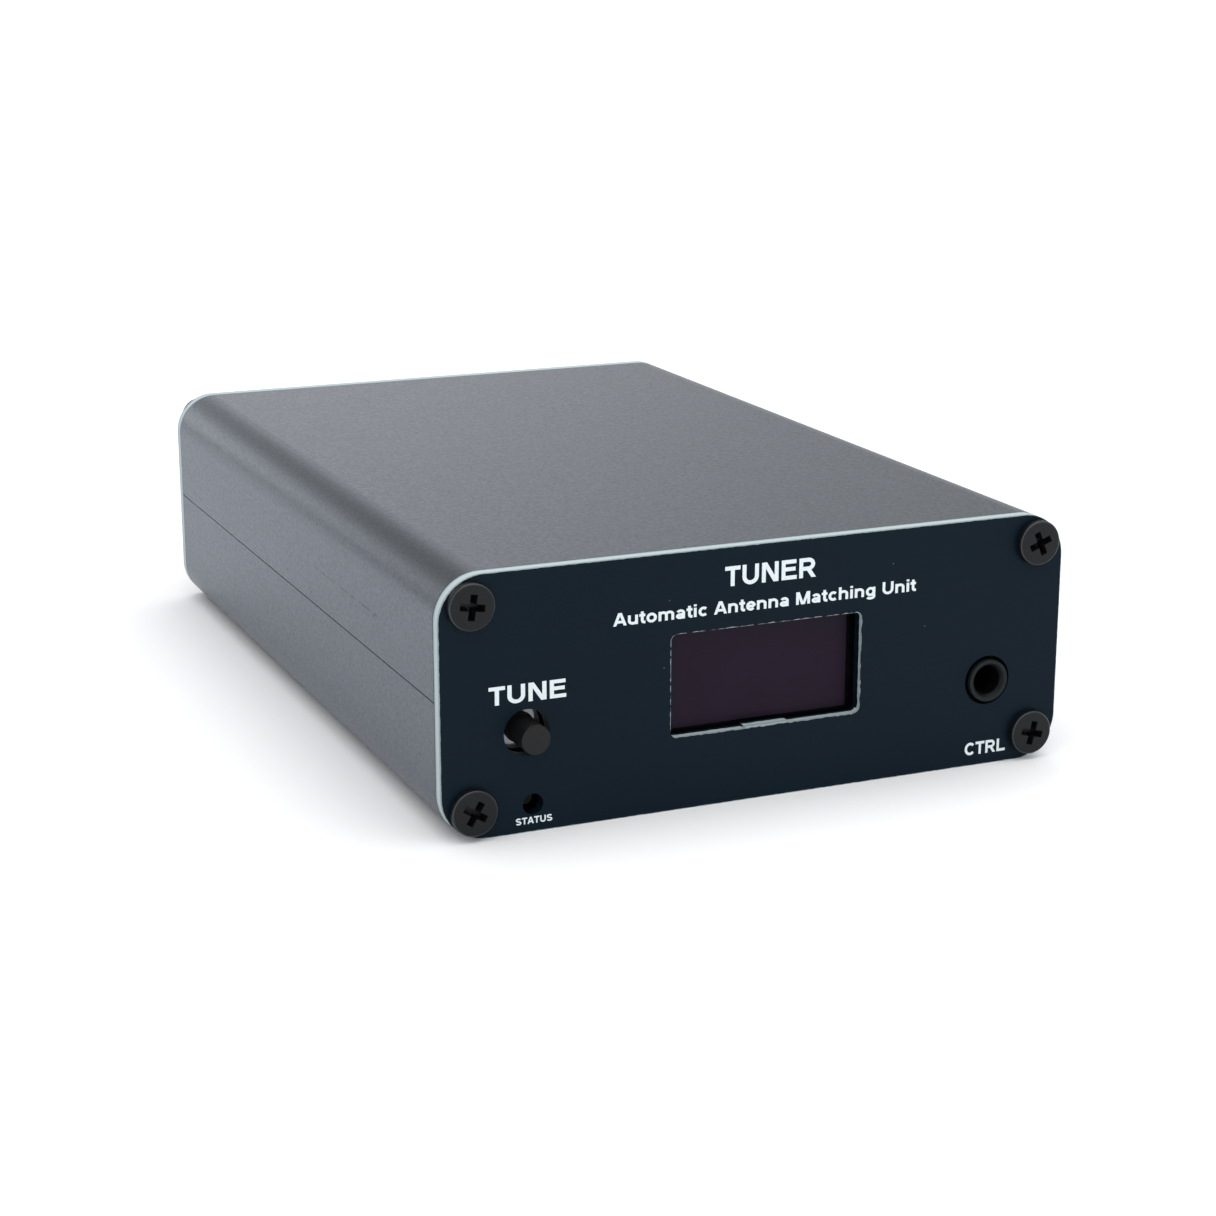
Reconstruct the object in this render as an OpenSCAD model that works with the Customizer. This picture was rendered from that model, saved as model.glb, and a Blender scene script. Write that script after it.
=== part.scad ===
// Small automatic antenna tuner: a split aluminium case with two circuit-board end panels,
// front controls, rear sockets, and the matching network on one board that slides in the case.
// X runs to the right of the front, Y to the back and Z up. Everything is in millimetres.

/* [Case] */
// Width of the case
case_w = 80; // [79:0.5:100]
// Height of the case
case_h = 30.8; // [30:0.1:38]
// Length of the extruded shells, between the end panels
shell_l = 111.5; // [110.5:0.5:150]
// Outer corner radius of the case and of the panels
corner_r = 5.4; // [4:0.1:7]
// Thickness of the extruded wall
wall = 1.8; // [1.5:0.1:2.2]
// Height of the seam between the two shells
seam_z = 16.1; // [14:0.1:18]
// Open line left between the outer lips of the two shells
seam_gap = 0.12; // [0.05:0.01:0.3]
// Height of the bottom shell's tongue above the seam
tongue_h = 1.4; // [1:0.1:2]
// Thickness of the tongue
tongue_t = 0.8; // [0.6:0.1:1]
// Side clearance of the tongue in its groove
tongue_gap = 0.1; // [0.05:0.05:0.2]
// Distance from the side of the case to a screw's axis
screw_in_x = 3.7; // [3.5:0.1:5]
// Distance from the top or bottom of the case to a screw's axis
screw_in_z = 3.45; // [3.3:0.05:4]
// Outer diameter of the screw channels
channel_d = 4.8; // [4.4:0.1:5]
// How far the screw channels stand past the shell's ends, which leaves a hairline behind each panel
panel_gap = 0.15; // [0.05:0.05:0.3]
// How far the board rails stand in from the side walls
rail_w = 1.6; // [1:0.1:2]
// Thickness of a board rail
rail_t = 1.2; // [0.8:0.1:1.5]

/* [End panels] */
// Thickness of both end panels
panel_t = 1.6; // [1.2:0.1:2.4]
// Width of the display window
window_w = 24.6; // [20:0.1:26]
// Height of the display window
window_h = 12.4; // [10:0.1:14]
// Sideways place of the window's centre
window_x = 0.35; // [-2:0.05:2]
// Height of the window's centre
window_z = 15; // [14:0.1:16]
// Corner radius of the window
window_r = 0.8; // [0.4:0.1:1.5]
// Width of the break-off tab's stub on the window's lower edge
tab_w = 5.6; // [2:0.1:8]
// Height of that stub
tab_h = 0.25; // [0.1:0.05:0.5]
// Diameter of the status light's hole
light_hole_d = 2.5; // [2:0.1:3.5]
// Diameter of the hole round the tune button
button_hole_d = 5.5; // [5:0.1:6]
// Diameter of the hole round the control jack's nose
jack_hole_d = 6.1; // [5.8:0.1:7]

/* [Panel screws] */
// Thread diameter of the panel screws
screw_d = 3; // [2.5:0.1:3.2]
// Length of a panel screw under its head
screw_l = 8; // [6:0.5:12]
// Diameter of a screw head
head_d = 5.5; // [5:0.1:6]
// Height of a screw head
head_h = 1.1; // [0.9:0.1:1.6]
// Height of the narrower step that rounds off a head's edge
head_edge = 0.2; // [0.1:0.05:0.3]
// Reach of the cross recess from arm to arm
cross_w = 3.2; // [2.6:0.1:3.6]
// Width of a recess arm
cross_t = 0.75; // [0.5:0.05:1]
// Depth of the recess
cross_depth = 0.7; // [0.4:0.1:0.8]
// Radial clearance of a screw in the panel's hole
screw_hole_gap = 0.2; // [0.1:0.05:0.4]
// Radial clearance left where a thread runs in metal
thread_gap = 0.05; // [0.02:0.01:0.1]
// How far each cross recess is turned: top left, top right, lower left, lower right
screw_turns = [8, -22, 31, 14]; // [-45:1:45]

/* [Main board] */
// Height of the board's underside
board_z = 6.1; // [6:0.1:7]
// Thickness of the board
board_t = 1.6; // [1:0.1:2]
// Clearance between the board and its slot
slot_gap = 0.1; // [0.05:0.05:0.3]
// Gap from the front panel to the board
board_front_gap = 1.2; // [0.5:0.1:2]
// Gap from the rear panel to the board
board_rear_gap = 0.3; // [0.1:0.1:1]

/* [Tune switch] */
// Sideways place of the tune button
button_x = -29.7; // [-31:0.1:-26]
// Height of the button's axis above the board
button_rise = 4.17; // [3.5:0.05:6]
// Diameter of the button
button_d = 3.5; // [3:0.1:4]
// How far the button stands out of the panel
button_proud = 3; // [1:0.1:5]
// Travel of the button
button_travel = 0.25; // [0.1:0.05:0.5]
// Radial clearance round the button in the switch's cover
button_gap = 0.1; // [0.05:0.05:0.2]
// Diameter of the button's collar inside the switch
collar_d = 4.6; // [4.2:0.1:5]
// Thickness of the collar
collar_t = 0.7; // [0.4:0.1:1]
// Width and height of the switch
switch_w = 6; // [5.6:0.1:7]
// Depth of the switch's base
switch_depth = 3.2; // [2.8:0.1:5]
// Distance from the panel's back to the switch's cover
switch_setback = 0.75; // [0.3:0.05:2]
// Thickness of the switch's metal cover
cover_t = 0.25; // [0.15:0.05:0.4]
// Thickness of the snap dome
dome_t = 0.12; // [0.08:0.01:0.2]
// Height left in the dome when the button is pressed home
dome_spare = 0.15; // [0.05:0.05:0.3]
// End clearance of the collar and of the nub at rest
collar_gap = 0.05; // [0.02:0.01:0.1]
// Radial clearance round the collar in the base's well
well_gap = 0.3; // [0.1:0.05:0.4]
// Diameter of the nub that presses the dome
nub_d = 1.6; // [1:0.1:2.5]
// Thickness of the base under the dome
switch_back = 0.8; // [0.5:0.1:1]
// Side of a square terminal of the switch or of a relay
terminal_w = 0.7; // [0.5:0.05:0.9]

/* [Status light] */
// Sideways place of the status light
light_x = -29; // [-31:0.1:-26]
// Depth of the light's axis below the board
light_drop = 2.82; // [2:0.05:3]
// Diameter of the light's lens
light_d = 1.8; // [1.5:0.1:2]
// Length of the lens
light_l = 3; // [2:0.1:4]
// Distance from the panel's back to the lens
light_setback = 1; // [0.3:0.1:2]
// Diameter of the flange behind the lens
light_flange_d = 2.4; // [1.9:0.1:2.4]
// Side of the light's square leads
light_lead = 0.4; // [0.3:0.05:0.5]
// Spacing of the light's two leads
light_lead_pitch = 1.2; // [0.8:0.1:1.4]

/* [Control jack] */
// Sideways place of the control jack
jack_x = 30.2; // [26:0.1:31]
// Height of the jack's axis above the board, which is half the body's height
jack_rise = 3; // [2.8:0.1:4]
// Bore of the jack
jack_bore_d = 3.6; // [2.6:0.1:3.6]
// Width of the mouth's countersink
jack_mouth_d = 4.3; // [4:0.1:4.6]
// Depth of the mouth's countersink
jack_mouth_t = 0.45; // [0.2:0.05:0.8]
// Outer diameter of the jack's nose
jack_nose_d = 5.2; // [5:0.1:5.6]
// How far the nose stands out of the panel
jack_proud = 0.4; // [0:0.1:2]
// Distance from the panel's back to the jack's body
jack_setback = 0.6; // [0.2:0.1:2]
// Width of the jack's body
jack_body_w = 8.4; // [7:0.1:9]
// Length of the jack's body
jack_body_l = 12.4; // [11:0.1:14]
// Thickness left behind the bore
jack_back_wall = 1; // [0.6:0.1:1.4]
// Width of a contact spring
spring_w = 1.2; // [0.8:0.1:1.4]
// Thickness of a contact spring
spring_t = 0.25; // [0.15:0.05:0.4]
// Length of a contact spring's leaf along the bore
spring_l = 2.2; // [1.5:0.1:2.4]
// Clearance round a contact spring in the body and beside the plug
spring_gap = 0.06; // [0.05:0.01:0.1]
// Side of the bore that each contact spring is on, where 1 is the right
spring_sides = [1, -1, 1]; // [-1:2:1]
// Distance from the body's face to each contact spring
spring_backs = [2.4, 5.2, 8]; // [2:0.1:8]

/* [Display] */
// Gap from the panel's back to the display's front film
film_gap = 0.4; // [0.2:0.1:1]
// Width of the dark film over the display's lit area
film_w = 23.2; // [20:0.1:25]
// Height of that film
film_h = 11.6; // [10:0.1:14]
// Thickness of the film
film_t = 0.2; // [0.1:0.05:0.3]
// Width of the display glass
glass_w = 26.7; // [25:0.1:30]
// Height of the display glass
glass_h = 19.3; // [15:0.1:20]
// Thickness of the display glass
glass_t = 1.4; // [1:0.1:2]
// Width of the display's board
display_board_w = 27.4; // [27:0.1:32]
// Height of the display's board
display_board_h = 24.4; // [22:0.1:25]
// Thickness of the display's board
display_board_t = 1.2; // [0.8:0.1:1.6]
// Spacing of the display's header pins
pin_pitch = 2.54; // [2:0.01:2.54]
// Side of a square header pin
pin_w = 0.64; // [0.5:0.02:0.7]
// Diameter of a pin's hole in the display's board
pin_hole_d = 1.28; // [1:0.02:1.5]
// Number of header pins
header_pins = 4; // [4:1:7]
// Height and depth of the header's plastic strip
header_w = 2.5; // [2:0.1:3]
// How far the pins stand out behind that strip
pin_tail = 1.25; // [0.5:0.05:3]
// How far the film's middle is left of the window's
film_shift_x = 0.2; // [0:0.05:0.5]
// How far the film's middle is above the window's
film_shift_z = 0.1; // [0:0.05:0.5]
// Clearance round the display in the main board's notch
notch_gap = 0.4; // [0.2:0.1:1]

/* [Rear sockets] */
// Sideways place of each coaxial socket, left and right of the middle
socket_x = 24; // [22:0.5:26]
// Outer diameter of a socket's barrel
barrel_d = 9.6; // [9.4:0.1:9.8]
// How far a socket stands out of the rear panel
socket_proud = 15; // [13:0.1:18]
// Width of the socket's hexagonal flange across its flats
socket_hex = 14; // [13:0.5:14.5]
// Thickness of that flange
socket_flange_t = 2.4; // [1.5:0.1:3]
// Diameter of the shoulder between flange and barrel
shoulder_d = 11; // [10:0.1:12]
// Length of the shoulder
shoulder_l = 1.6; // [0.5:0.1:2]
// Inside diameter of the barrel's mouth
mouth_d = 8.2; // [8:0.1:8.4]
// Depth of the barrel's mouth
mouth_l = 8.6; // [7:0.1:10]
// Diameter of a bayonet lug
lug_d = 2; // [1.8:0.1:2.2]
// Distance across both bayonet lugs
lug_span = 11; // [10.8:0.1:11.2]
// Distance from the socket's end to the lugs
lug_back = 5.2; // [5:0.1:6]
// How much thinner the barrel is behind its lugs, all round
barrel_relief = 0.2; // [0.1:0.05:0.3]
// Bevel round the barrel's end
mouth_bevel = 0.3; // [0.1:0.05:0.5]
// Diameter of the threaded stem
stem_d = 9; // [8.4:0.1:9]
// Length of the stem behind the panel
stem_l = 5; // [4:0.1:6]
// Clearance round a stem in its panel hole, washer and nut
stem_gap = 0.1; // [0.05:0.05:0.2]
// Thickness of a socket's washer
socket_washer_t = 0.7; // [0.5:0.1:1]
// Diameter of a socket's washer
socket_washer_d = 14; // [13:0.5:14.5]
// Thickness of a socket's nut
socket_nut_t = 2.4; // [2:0.1:3]
// Diameter of a socket's insulator
insulator_d = 4.9; // [4.5:0.1:5.2]
// Diameter of the insulator's flange behind the stem
insulator_flange_d = 7.5; // [6:0.5:9]
// Thickness of that flange
insulator_flange_t = 1; // [0.5:0.1:1.5]
// Diameter of a socket's centre contact
contact_d = 2.2; // [2:0.1:2.4]
// Diameter of the contact's collar behind the insulator
contact_collar_d = 4.4; // [3:0.1:5]
// Hole in the centre contact
contact_hole_d = 1.35; // [1.3:0.05:1.4]
// Radial clearance between a socket's nested pieces
nest_gap = 0.04; // [0.02:0.01:0.06]
// How far the insulator and the contact end inside the mouth
contact_back = 1.5; // [1:0.1:2.5]
// Length of the contact's solder blade behind the stem
blade_l = 3; // [2:0.1:4]
// Width of the solder blade
blade_w = 1.6; // [1:0.1:2]
// Thickness of the solder blade and of the contact's collar
blade_t = 0.6; // [0.4:0.1:0.8]
// Diameter of the lead from the solder blade to the board
lead_d = 0.8; // [0.5:0.1:1]

/* [Charge socket] */
// Sideways place of the charge socket
charge_x = -6; // [-10:0.5:-4]
// Width of the charge socket's shell
charge_w = 8.94; // [8.8:0.02:9.2]
// Height of the charge socket's shell
charge_h = 3.26; // [3.1:0.02:3.4]
// Length of the charge socket's shell
charge_l = 7.35; // [6.5:0.05:9]
// Wall of the charge socket's shell
charge_wall = 0.3; // [0.2:0.05:0.4]
// Thickness of the charge socket's closed back
charge_back_t = 1.2; // [0.8:0.1:2]
// Clearance round the shell in the rear panel
charge_gap = 0.3; // [0.1:0.05:0.5]
// Width of the contact tongue
charge_tongue_w = 6.7; // [6.4:0.1:6.8]
// Thickness of the contact tongue
charge_tongue_t = 0.7; // [0.6:0.05:0.8]
// How far the tongue ends inside the shell
charge_tongue_back = 1; // [0.5:0.1:2]

/* [Ground terminal] */
// Sideways place of the ground terminal
ground_x = 9; // [7:0.5:9.5]
// Height of the ground terminal
ground_z = 20.5; // [18:0.5:22]
// Thread diameter of the ground stud
stud_d = 4; // [3:0.5:4]
// Rise of the ground stud's thread in one turn
stud_pitch = 0.7; // [0.5:0.05:0.75]
// Whole turns that the thumb nut is unscrewed
nut_turns = 7; // [4:1:7]
// How far the stud stands out of the thumb nut when that is unscrewed
stud_spare = 0.5; // [0:0.1:2]
// Radial clearance of the stud in the rear panel
stud_hole_gap = 0.2; // [0.1:0.05:0.4]
// Diameter of the stud's head, inside the case
stud_head_d = 7; // [6.5:0.1:7.5]
// Height of the stud's head
stud_head_h = 2; // [1.5:0.1:3]
// Width of the fixing nut across its flats
ground_nut_hex = 7; // [6.5:0.5:8]
// Thickness of the fixing nut
ground_nut_t = 2.2; // [1.8:0.1:3]
// Diameter of the captive washer
washer_d = 9; // [8:0.5:10]
// Thickness of the captive washer
washer_t = 0.8; // [0.5:0.1:1]
// Diameter of the thumb nut
thumb_d = 10; // [9:0.5:10.5]
// Length of the thumb nut's knurled part
thumb_l = 3.4; // [3:0.1:5]
// Diameter of the thumb nut's plain hub
thumb_hub_d = 7; // [6:0.5:8]
// Length of the plain hub
thumb_hub_l = 1.2; // [0.5:0.1:2]
// Grooves round the thumb nut
knurl_count = 24; // [12:1:32]
// Diameter of the round cutter that makes a groove
knurl_d = 0.7; // [0.4:0.1:1]
// Thickness of the solder tag under the stud's head
tag_t = 0.5; // [0.3:0.1:0.8]
// Width of the solder tag's tail
tag_w = 2.4; // [1.5:0.1:3]

/* [Battery] */
// Diameter of the battery cell
cell_d = 18.3; // [17:0.1:18.5]
// Length of the battery cell without its button
cell_l = 64.5; // [60:0.5:66]
// Diameter of the cell's button
cell_button_d = 5.5; // [4.5:0.1:6.5]
// Clearance between the holder and the board rail beside it
holder_side_gap = 1.5; // [0.5:0.1:2]
// Distance from the front panel to the battery holder
holder_y = 22; // [18:0.5:28]
// Floor of the holder under the cell
holder_floor = 0.9; // [0.6:0.1:1.2]
// Height of the holder's sides
holder_h = 9; // [6:0.5:12]
// Wall of the holder
holder_wall = 1.2; // [0.8:0.1:1.4]
// Clearance round the cell in its holder
cell_gap = 0.15; // [0.1:0.05:0.3]
// Thickness of a battery contact
clip_t = 0.5; // [0.3:0.1:0.8]
// Diameter of a battery contact
clip_d = 11; // [7:0.5:14]
// Room for the front contact and the cell's button
clip_bed = 1.2; // [1:0.1:2]

/* [Matching network] */
// Number of coils, of coil relays and of capacitor relays
steps = 7; // [4:1:7]
// Distance from the front panel to the first relay
network_y = 22; // [19.5:0.5:22.5]
// Distance between neighbouring relays
relay_pitch = 10.6; // [9.6:0.1:10.7]
// Size of a relay across the case
relay_w = 14; // [12:0.5:15]
// Size of a relay along the case
relay_l = 9; // [7:0.1:9.4]
// Height of a relay
relay_h = 5; // [4:0.1:8]
// Height of a relay's feet
relay_foot = 0.3; // [0.1:0.1:0.6]
// Distance from a relay's side to the middle of its feet
relay_foot_in = 1; // [0.5:0.1:2]
// Clearance between the coil relays and the board rail beside them
relay_side_gap = 2.1; // [1:0.1:2.5]
// Outer diameter of the smallest coil core
core_first_d = 7; // [6.5:0.1:7.5]
// How much wider each next core is
core_step_d = 0.9; // [0:0.1:0.9]
// Ring width of a core as a share of its diameter
core_ring_share = 0.23; // [0.2:0.01:0.24]
// Thickness of a core as a share of its diameter
core_thick_share = 0.3; // [0.2:0.01:0.3]
// Turns on the smallest coil
turns_first = 3; // [2:1:3]
// How many more turns each next coil has
turns_step = 2; // [0:1:2]
// Diameter of the coil wire
wire_d = 0.5; // [0.3:0.05:0.5]
// Clearance between the wire and its core
wire_gap = 0.08; // [0.05:0.01:0.1]
// Clearance between a coil and the board
coil_rest = 0.05; // [0.02:0.01:0.2]
// Length of a chip capacitor
chip_cap_l = 3.2; // [2:0.1:4]
// Width of a chip capacitor
chip_cap_w = 1.8; // [1:0.1:1.8]
// Height of a chip capacitor
chip_cap_h = 1.4; // [0.8:0.1:2]
// Clearance between the chip capacitors and the battery holder
chip_cap_gap = 1.1; // [0.3:0.1:1.2]
// Side of the controller chip
controller_w = 9; // [7:0.5:9]
// Height of the controller chip
controller_h = 1.4; // [1:0.1:2]
// Leads on each side of the controller chip
controller_leads = 11; // [8:1:12]
// Diameter of a sensing transformer's core
sensor_d = 8; // [6:0.5:8]
// Hole in a sensing transformer's core
sensor_hole_d = 4; // [3:0.1:5]
// Height of a sensing transformer's core
sensor_h = 4; // [3:0.1:5]
// Distance between the two cores
sensor_gap = 1.6; // [0.5:0.1:3]

/* [Hidden] */
$fn = 64;
// Overlap that keeps a cut or a join from ending on a bare face
eps = 0.2;
case_l = shell_l + 2 * (panel_t + panel_gap);
overall_l = button_proud + case_l + socket_proud;
front_y = button_proud - overall_l / 2;
rear_y = front_y + case_l;
front_in_y = front_y + panel_t;
rear_in_y = rear_y - panel_t;
shell_y = front_in_y + panel_gap;
inner_w = case_w - 2 * wall;
board_top = board_z + board_t;
board_w = inner_w - 2 * slot_gap;
board_y = front_in_y + board_front_gap;
board_end_y = rear_in_y - board_rear_gap;
screw_hole_d = screw_d + 2 * screw_hole_gap;
button_z = board_top + button_rise;
cover_y = front_in_y + switch_setback;
switch_y = cover_y + cover_t;
collar_y = switch_y + collar_gap;
dome_rise = button_travel + dome_spare;
dome_y = switch_y + switch_depth - switch_back;
crown_y = dome_y - dome_rise;
light_z = board_z - light_drop;
light_y = front_in_y + light_setback;
jack_z = board_top + jack_rise;
jack_y = front_in_y + jack_setback;
jack_mouth_y = front_y - jack_proud;
jack_bore_l = jack_y + jack_body_l - jack_back_wall - jack_mouth_y;
film_y = front_in_y + film_gap;
glass_y = film_y + film_t;
display_board_y = glass_y + glass_t;
display_back_y = display_board_y + display_board_t;
socket_z = case_h / 2;
socket_end_y = rear_y + socket_proud;
barrel_front_l = lug_back - lug_d / 2;
socket_hole_d = stem_d + 2 * stem_gap;
socket_nut_y = rear_in_y - socket_washer_t - socket_nut_t;
stem_y = rear_in_y - stem_l;
blade_y = stem_y - blade_l;
charge_z = board_top + charge_h / 2;
charge_y = rear_y - charge_l;
stud_bore_d = stud_d + 2 * thread_gap;
washer_y = rear_y + ground_nut_t;
thumb_y = washer_y + washer_t;
nut_travel = nut_turns * stud_pitch;
stud_proud = ground_nut_t + washer_t + thumb_l + thumb_hub_l + nut_travel + stud_spare;
holder_front_y = front_y + holder_y;
cell_y = holder_front_y + holder_wall + clip_bed;
cell_z = board_top + holder_floor + cell_gap + cell_d / 2;
cell_button_l = clip_bed - clip_t;
holder_l = cell_l + 2 * holder_wall + clip_bed + clip_t;
holder_w = cell_d + 2 * (cell_gap + holder_wall);
cell_x = rail_w + holder_side_gap + (holder_w - inner_w) / 2;
network_front_y = front_y + network_y + relay_l / 2;
chip_cap_x = cell_x + holder_w / 2 + chip_cap_gap + chip_cap_w / 2;
capacitor_relay_x = chip_cap_x + (chip_cap_w + relay_w) / 2;
coil_relay_x = (inner_w - relay_w) / 2 - rail_w - relay_side_gap;
coil_x = (capacitor_relay_x + coil_relay_x) / 2;

// ---- shared shapes ----

// A rectangle centred on the origin with round corners
module rounded_rect(w, h, r) {
    square([w - 2 * r, h], center = true);
    square([w, h - 2 * r], center = true);
    for (sx = [-1, 1], sy = [-1, 1])
        translate([sx * (w / 2 - r), sy * (h / 2 - r)])
            circle(r);
}

// A flat outline drawn in X and Z, given a length along Y
module along_y(y, l) {
    translate([0, y + l, 0])
        rotate([90, 0, 0])
            linear_extrude(l)
                children();
}

// A round bar along Y
module bar_y(x, y, z, d, l) {
    translate([x, y, z])
        rotate([-90, 0, 0])
            cylinder(d = d, h = l);
}

// A cone along Y, from diameter d1 at y to d2 at the far end
module cone_y(x, y, z, d1, d2, l) {
    translate([x, y, z])
        rotate([-90, 0, 0])
            cylinder(d1 = d1, d2 = d2, h = l);
}

// A block placed by its middle in X, its near end in Y and its foot in Z
module block(x, y, z, size) {
    translate([x - size[0] / 2, y, z])
        cube(size);
}

// A hexagon with a flat at its foot, w across its flats
module hexagon(w) {
    circle(d = w / cos(30), $fn = 6);
}

// A slot with round ends, lying along X
module stadium(w, h) {
    square([w - h, h], center = true);
    for (sx = [-1, 1])
        translate([sx * (w - h) / 2, 0])
            circle(d = h);
}

// ---- case ----

module case_outline() {
    translate([0, case_h / 2])
        rounded_rect(case_w, case_h, corner_r);
}

module screw_places() {
    for (sx = [-1, 1], z = [screw_in_z, case_h - screw_in_z])
        translate([sx * (case_w / 2 - screw_in_x), z])
            children();
}

module channel_outline() {
    intersection() {
        case_outline();
        screw_places() circle(d = channel_d);
    }
}

// The whole extrusion's wall, before it is split at the seam
module wall_outline() {
    difference() {
        case_outline();
        translate([0, case_h / 2])
            rounded_rect(inner_w, case_h - 2 * wall, corner_r - wall);
    }
}

module rail_outline() {
    for (sx = [-1, 1], z = [board_z - slot_gap - rail_t, board_top + slot_gap])
        translate([sx * (inner_w / 2 + (wall / 2 - rail_w) / 2), z + rail_t / 2])
            square([rail_w + wall / 2, rail_t], center = true);
}

// The inner half of the side wall that the tongue fills, or that its groove leaves open
module tongue_outline(gap) {
    for (sx = [-1, 1])
        translate([sx * (inner_w / 2 + (tongue_t + gap) / 2), seam_z + (tongue_h - wall) / 2])
            square([tongue_t + gap, tongue_h + wall], center = true);
}

module screw_bores() {
    screw_places() circle(d = screw_d + 2 * thread_gap);
}

// Keeps what lies on one side of the seam
module above_seam() {
    translate([-case_w, seam_z + seam_gap / 2])
        square([2 * case_w, case_h]);
}

module below_seam() {
    translate([-case_w, seam_z - seam_gap / 2 - case_h])
        square([2 * case_w, case_h]);
}

module top_shell() {
    color("dimgray") {
        along_y(shell_y, shell_l)
            difference() {
                intersection() {
                    union() {
                        wall_outline();
                        channel_outline();
                    }
                    above_seam();
                }
                tongue_outline(tongue_gap);
                screw_bores();
            }
        shell_ends() above_seam();
    }
}

module bottom_shell() {
    color("dimgray") {
        along_y(shell_y, shell_l)
            difference() {
                union() {
                    intersection() {
                        union() {
                            wall_outline();
                            channel_outline();
                            rail_outline();
                        }
                        below_seam();
                    }
                    tongue_outline(0);
                }
                screw_bores();
            }
        shell_ends() below_seam();
    }
}

// The ends of the screw channels, which the panels bear on
module shell_ends() {
    for (y = [front_in_y, rear_in_y - panel_gap - eps])
        along_y(y, panel_gap + eps)
            difference() {
                intersection() {
                    channel_outline();
                    children();
                }
                screw_bores();
            }
}

// ---- end panels ----

module screw_holes() {
    screw_places() circle(d = screw_hole_d);
}

module window_outline() {
    translate([window_x, window_z])
        difference() {
            rounded_rect(window_w, window_h, window_r);
            translate([0, -window_h / 2])
                square([tab_w, 2 * tab_h], center = true);
        }
}

module front_panel() {
    color("#1b252d")
        along_y(front_y, panel_t)
            difference() {
                case_outline();
                screw_holes();
                window_outline();
                translate([light_x, light_z]) circle(d = light_hole_d);
                translate([button_x, button_z]) circle(d = button_hole_d);
                translate([jack_x, jack_z]) circle(d = jack_hole_d);
            }
}

module rear_panel() {
    color("#1b252d")
        along_y(rear_in_y, panel_t)
            difference() {
                case_outline();
                screw_holes();
                for (sx = [-1, 1])
                    translate([sx * socket_x, socket_z]) circle(d = socket_hole_d);
                translate([charge_x, charge_z])
                    stadium(charge_w + 2 * charge_gap, charge_h + 2 * charge_gap);
                translate([ground_x, ground_z]) circle(d = stud_d + 2 * stud_hole_gap);
            }
}

// A cross-recess pan-head screw, head on -Y, whose head rests on y = 0
module panel_screw(turn) {
    difference() {
        union() {
            bar_y(0, 0, 0, screw_d, screw_l);
            bar_y(0, head_edge - head_h, 0, head_d, head_h - head_edge);
            bar_y(0, -head_h, 0, head_d - 2 * head_edge, head_edge);
        }
        rotate([0, turn, 0])
            for (a = [0, 90])
                rotate([0, a, 0])
                    block(0, -head_h - eps, -cross_t / 2, [cross_w, cross_depth + eps, cross_t]);
        cone_y(0, -head_h, 0, 2 * cross_t, 0, head_h);
    }
}

module panel_screws() {
    color("#2c3238")
        for (i = [0:3]) {
            x = (i % 2 == 0 ? -1 : 1) * (case_w / 2 - screw_in_x);
            z = i < 2 ? case_h - screw_in_z : screw_in_z;
            translate([x, front_y, z])
                panel_screw(screw_turns[i]);
            translate([x, rear_y, z])
                rotate(180)
                    panel_screw(-screw_turns[i]);
        }
}

// ---- main board ----

module main_board() {
    color("#2b3a35")
        difference() {
            block(0, board_y, board_z, [board_w, board_end_y - board_y, board_t]);
            block(window_x, board_y - eps, board_z - eps,
                  [display_board_w + 2 * notch_gap, display_back_y + notch_gap - board_y + eps,
                   board_t + 2 * eps]);
        }
}

// ---- display ----

module display_film() {
    color("#281f2d")
        along_y(film_y, film_t)
            translate([window_x - film_shift_x, window_z + film_shift_z])
                square([film_w, film_h], center = true);
}

module display_glass() {
    color("#0b0c10")
        along_y(glass_y, glass_t)
            translate([window_x, window_z]) square([glass_w, glass_h], center = true);
}

// The header pins' places across the case
function pin_x(i) = window_x + (i - (header_pins - 1) / 2) * pin_pitch;

module display_board() {
    color("#1f3f6b")
        along_y(display_board_y, display_board_t)
            difference() {
                translate([window_x, window_z]) square([display_board_w, display_board_h], center = true);
                for (i = [0:header_pins - 1])
                    translate([pin_x(i), board_top + header_w / 2]) circle(d = pin_hole_d);
            }
}

module display_header() {
    color("#15161a")
        difference() {
            block(window_x, display_back_y, board_top,
                  [header_pins * pin_pitch, header_w, header_w]);
            for (i = [0:header_pins - 1])
                block(pin_x(i), display_back_y - eps, board_top + (header_w - pin_w) / 2,
                      [pin_w, header_w + 2 * eps, pin_w]);
        }
    color("gold")
        for (i = [0:header_pins - 1])
            block(pin_x(i), display_board_y, board_top + (header_w - pin_w) / 2,
                  [pin_w, display_board_t + header_w + pin_tail, pin_w]);
}

// ---- tune switch ----

module tune_button() {
    color("#26282b") {
        bar_y(button_x, front_y - button_proud, button_z, button_d,
              button_proud + collar_y - front_y + eps);
        bar_y(button_x, collar_y, button_z, collar_d, collar_t);
        bar_y(button_x, collar_y, button_z, nub_d, crown_y - collar_gap - collar_y);
    }
}

module tune_switch_cover() {
    color("silver")
        difference() {
            block(button_x, cover_y, button_z - switch_w / 2,
                  [switch_w + 2 * cover_t, cover_t + switch_depth, switch_w]);
            block(button_x, switch_y, button_z - switch_w / 2 - eps,
                  [switch_w, switch_depth + eps, switch_w + 2 * eps]);
            bar_y(button_x, cover_y - eps, button_z, button_d + 2 * button_gap, cover_t + 2 * eps);
        }
    color("silver")
        for (sx = [-1, 1])
            block(button_x + sx * (switch_w + cover_t) / 2, switch_y + switch_depth / 2, board_top,
                  [cover_t, terminal_w, button_z - switch_w / 2 - board_top + eps]);
}

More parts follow.
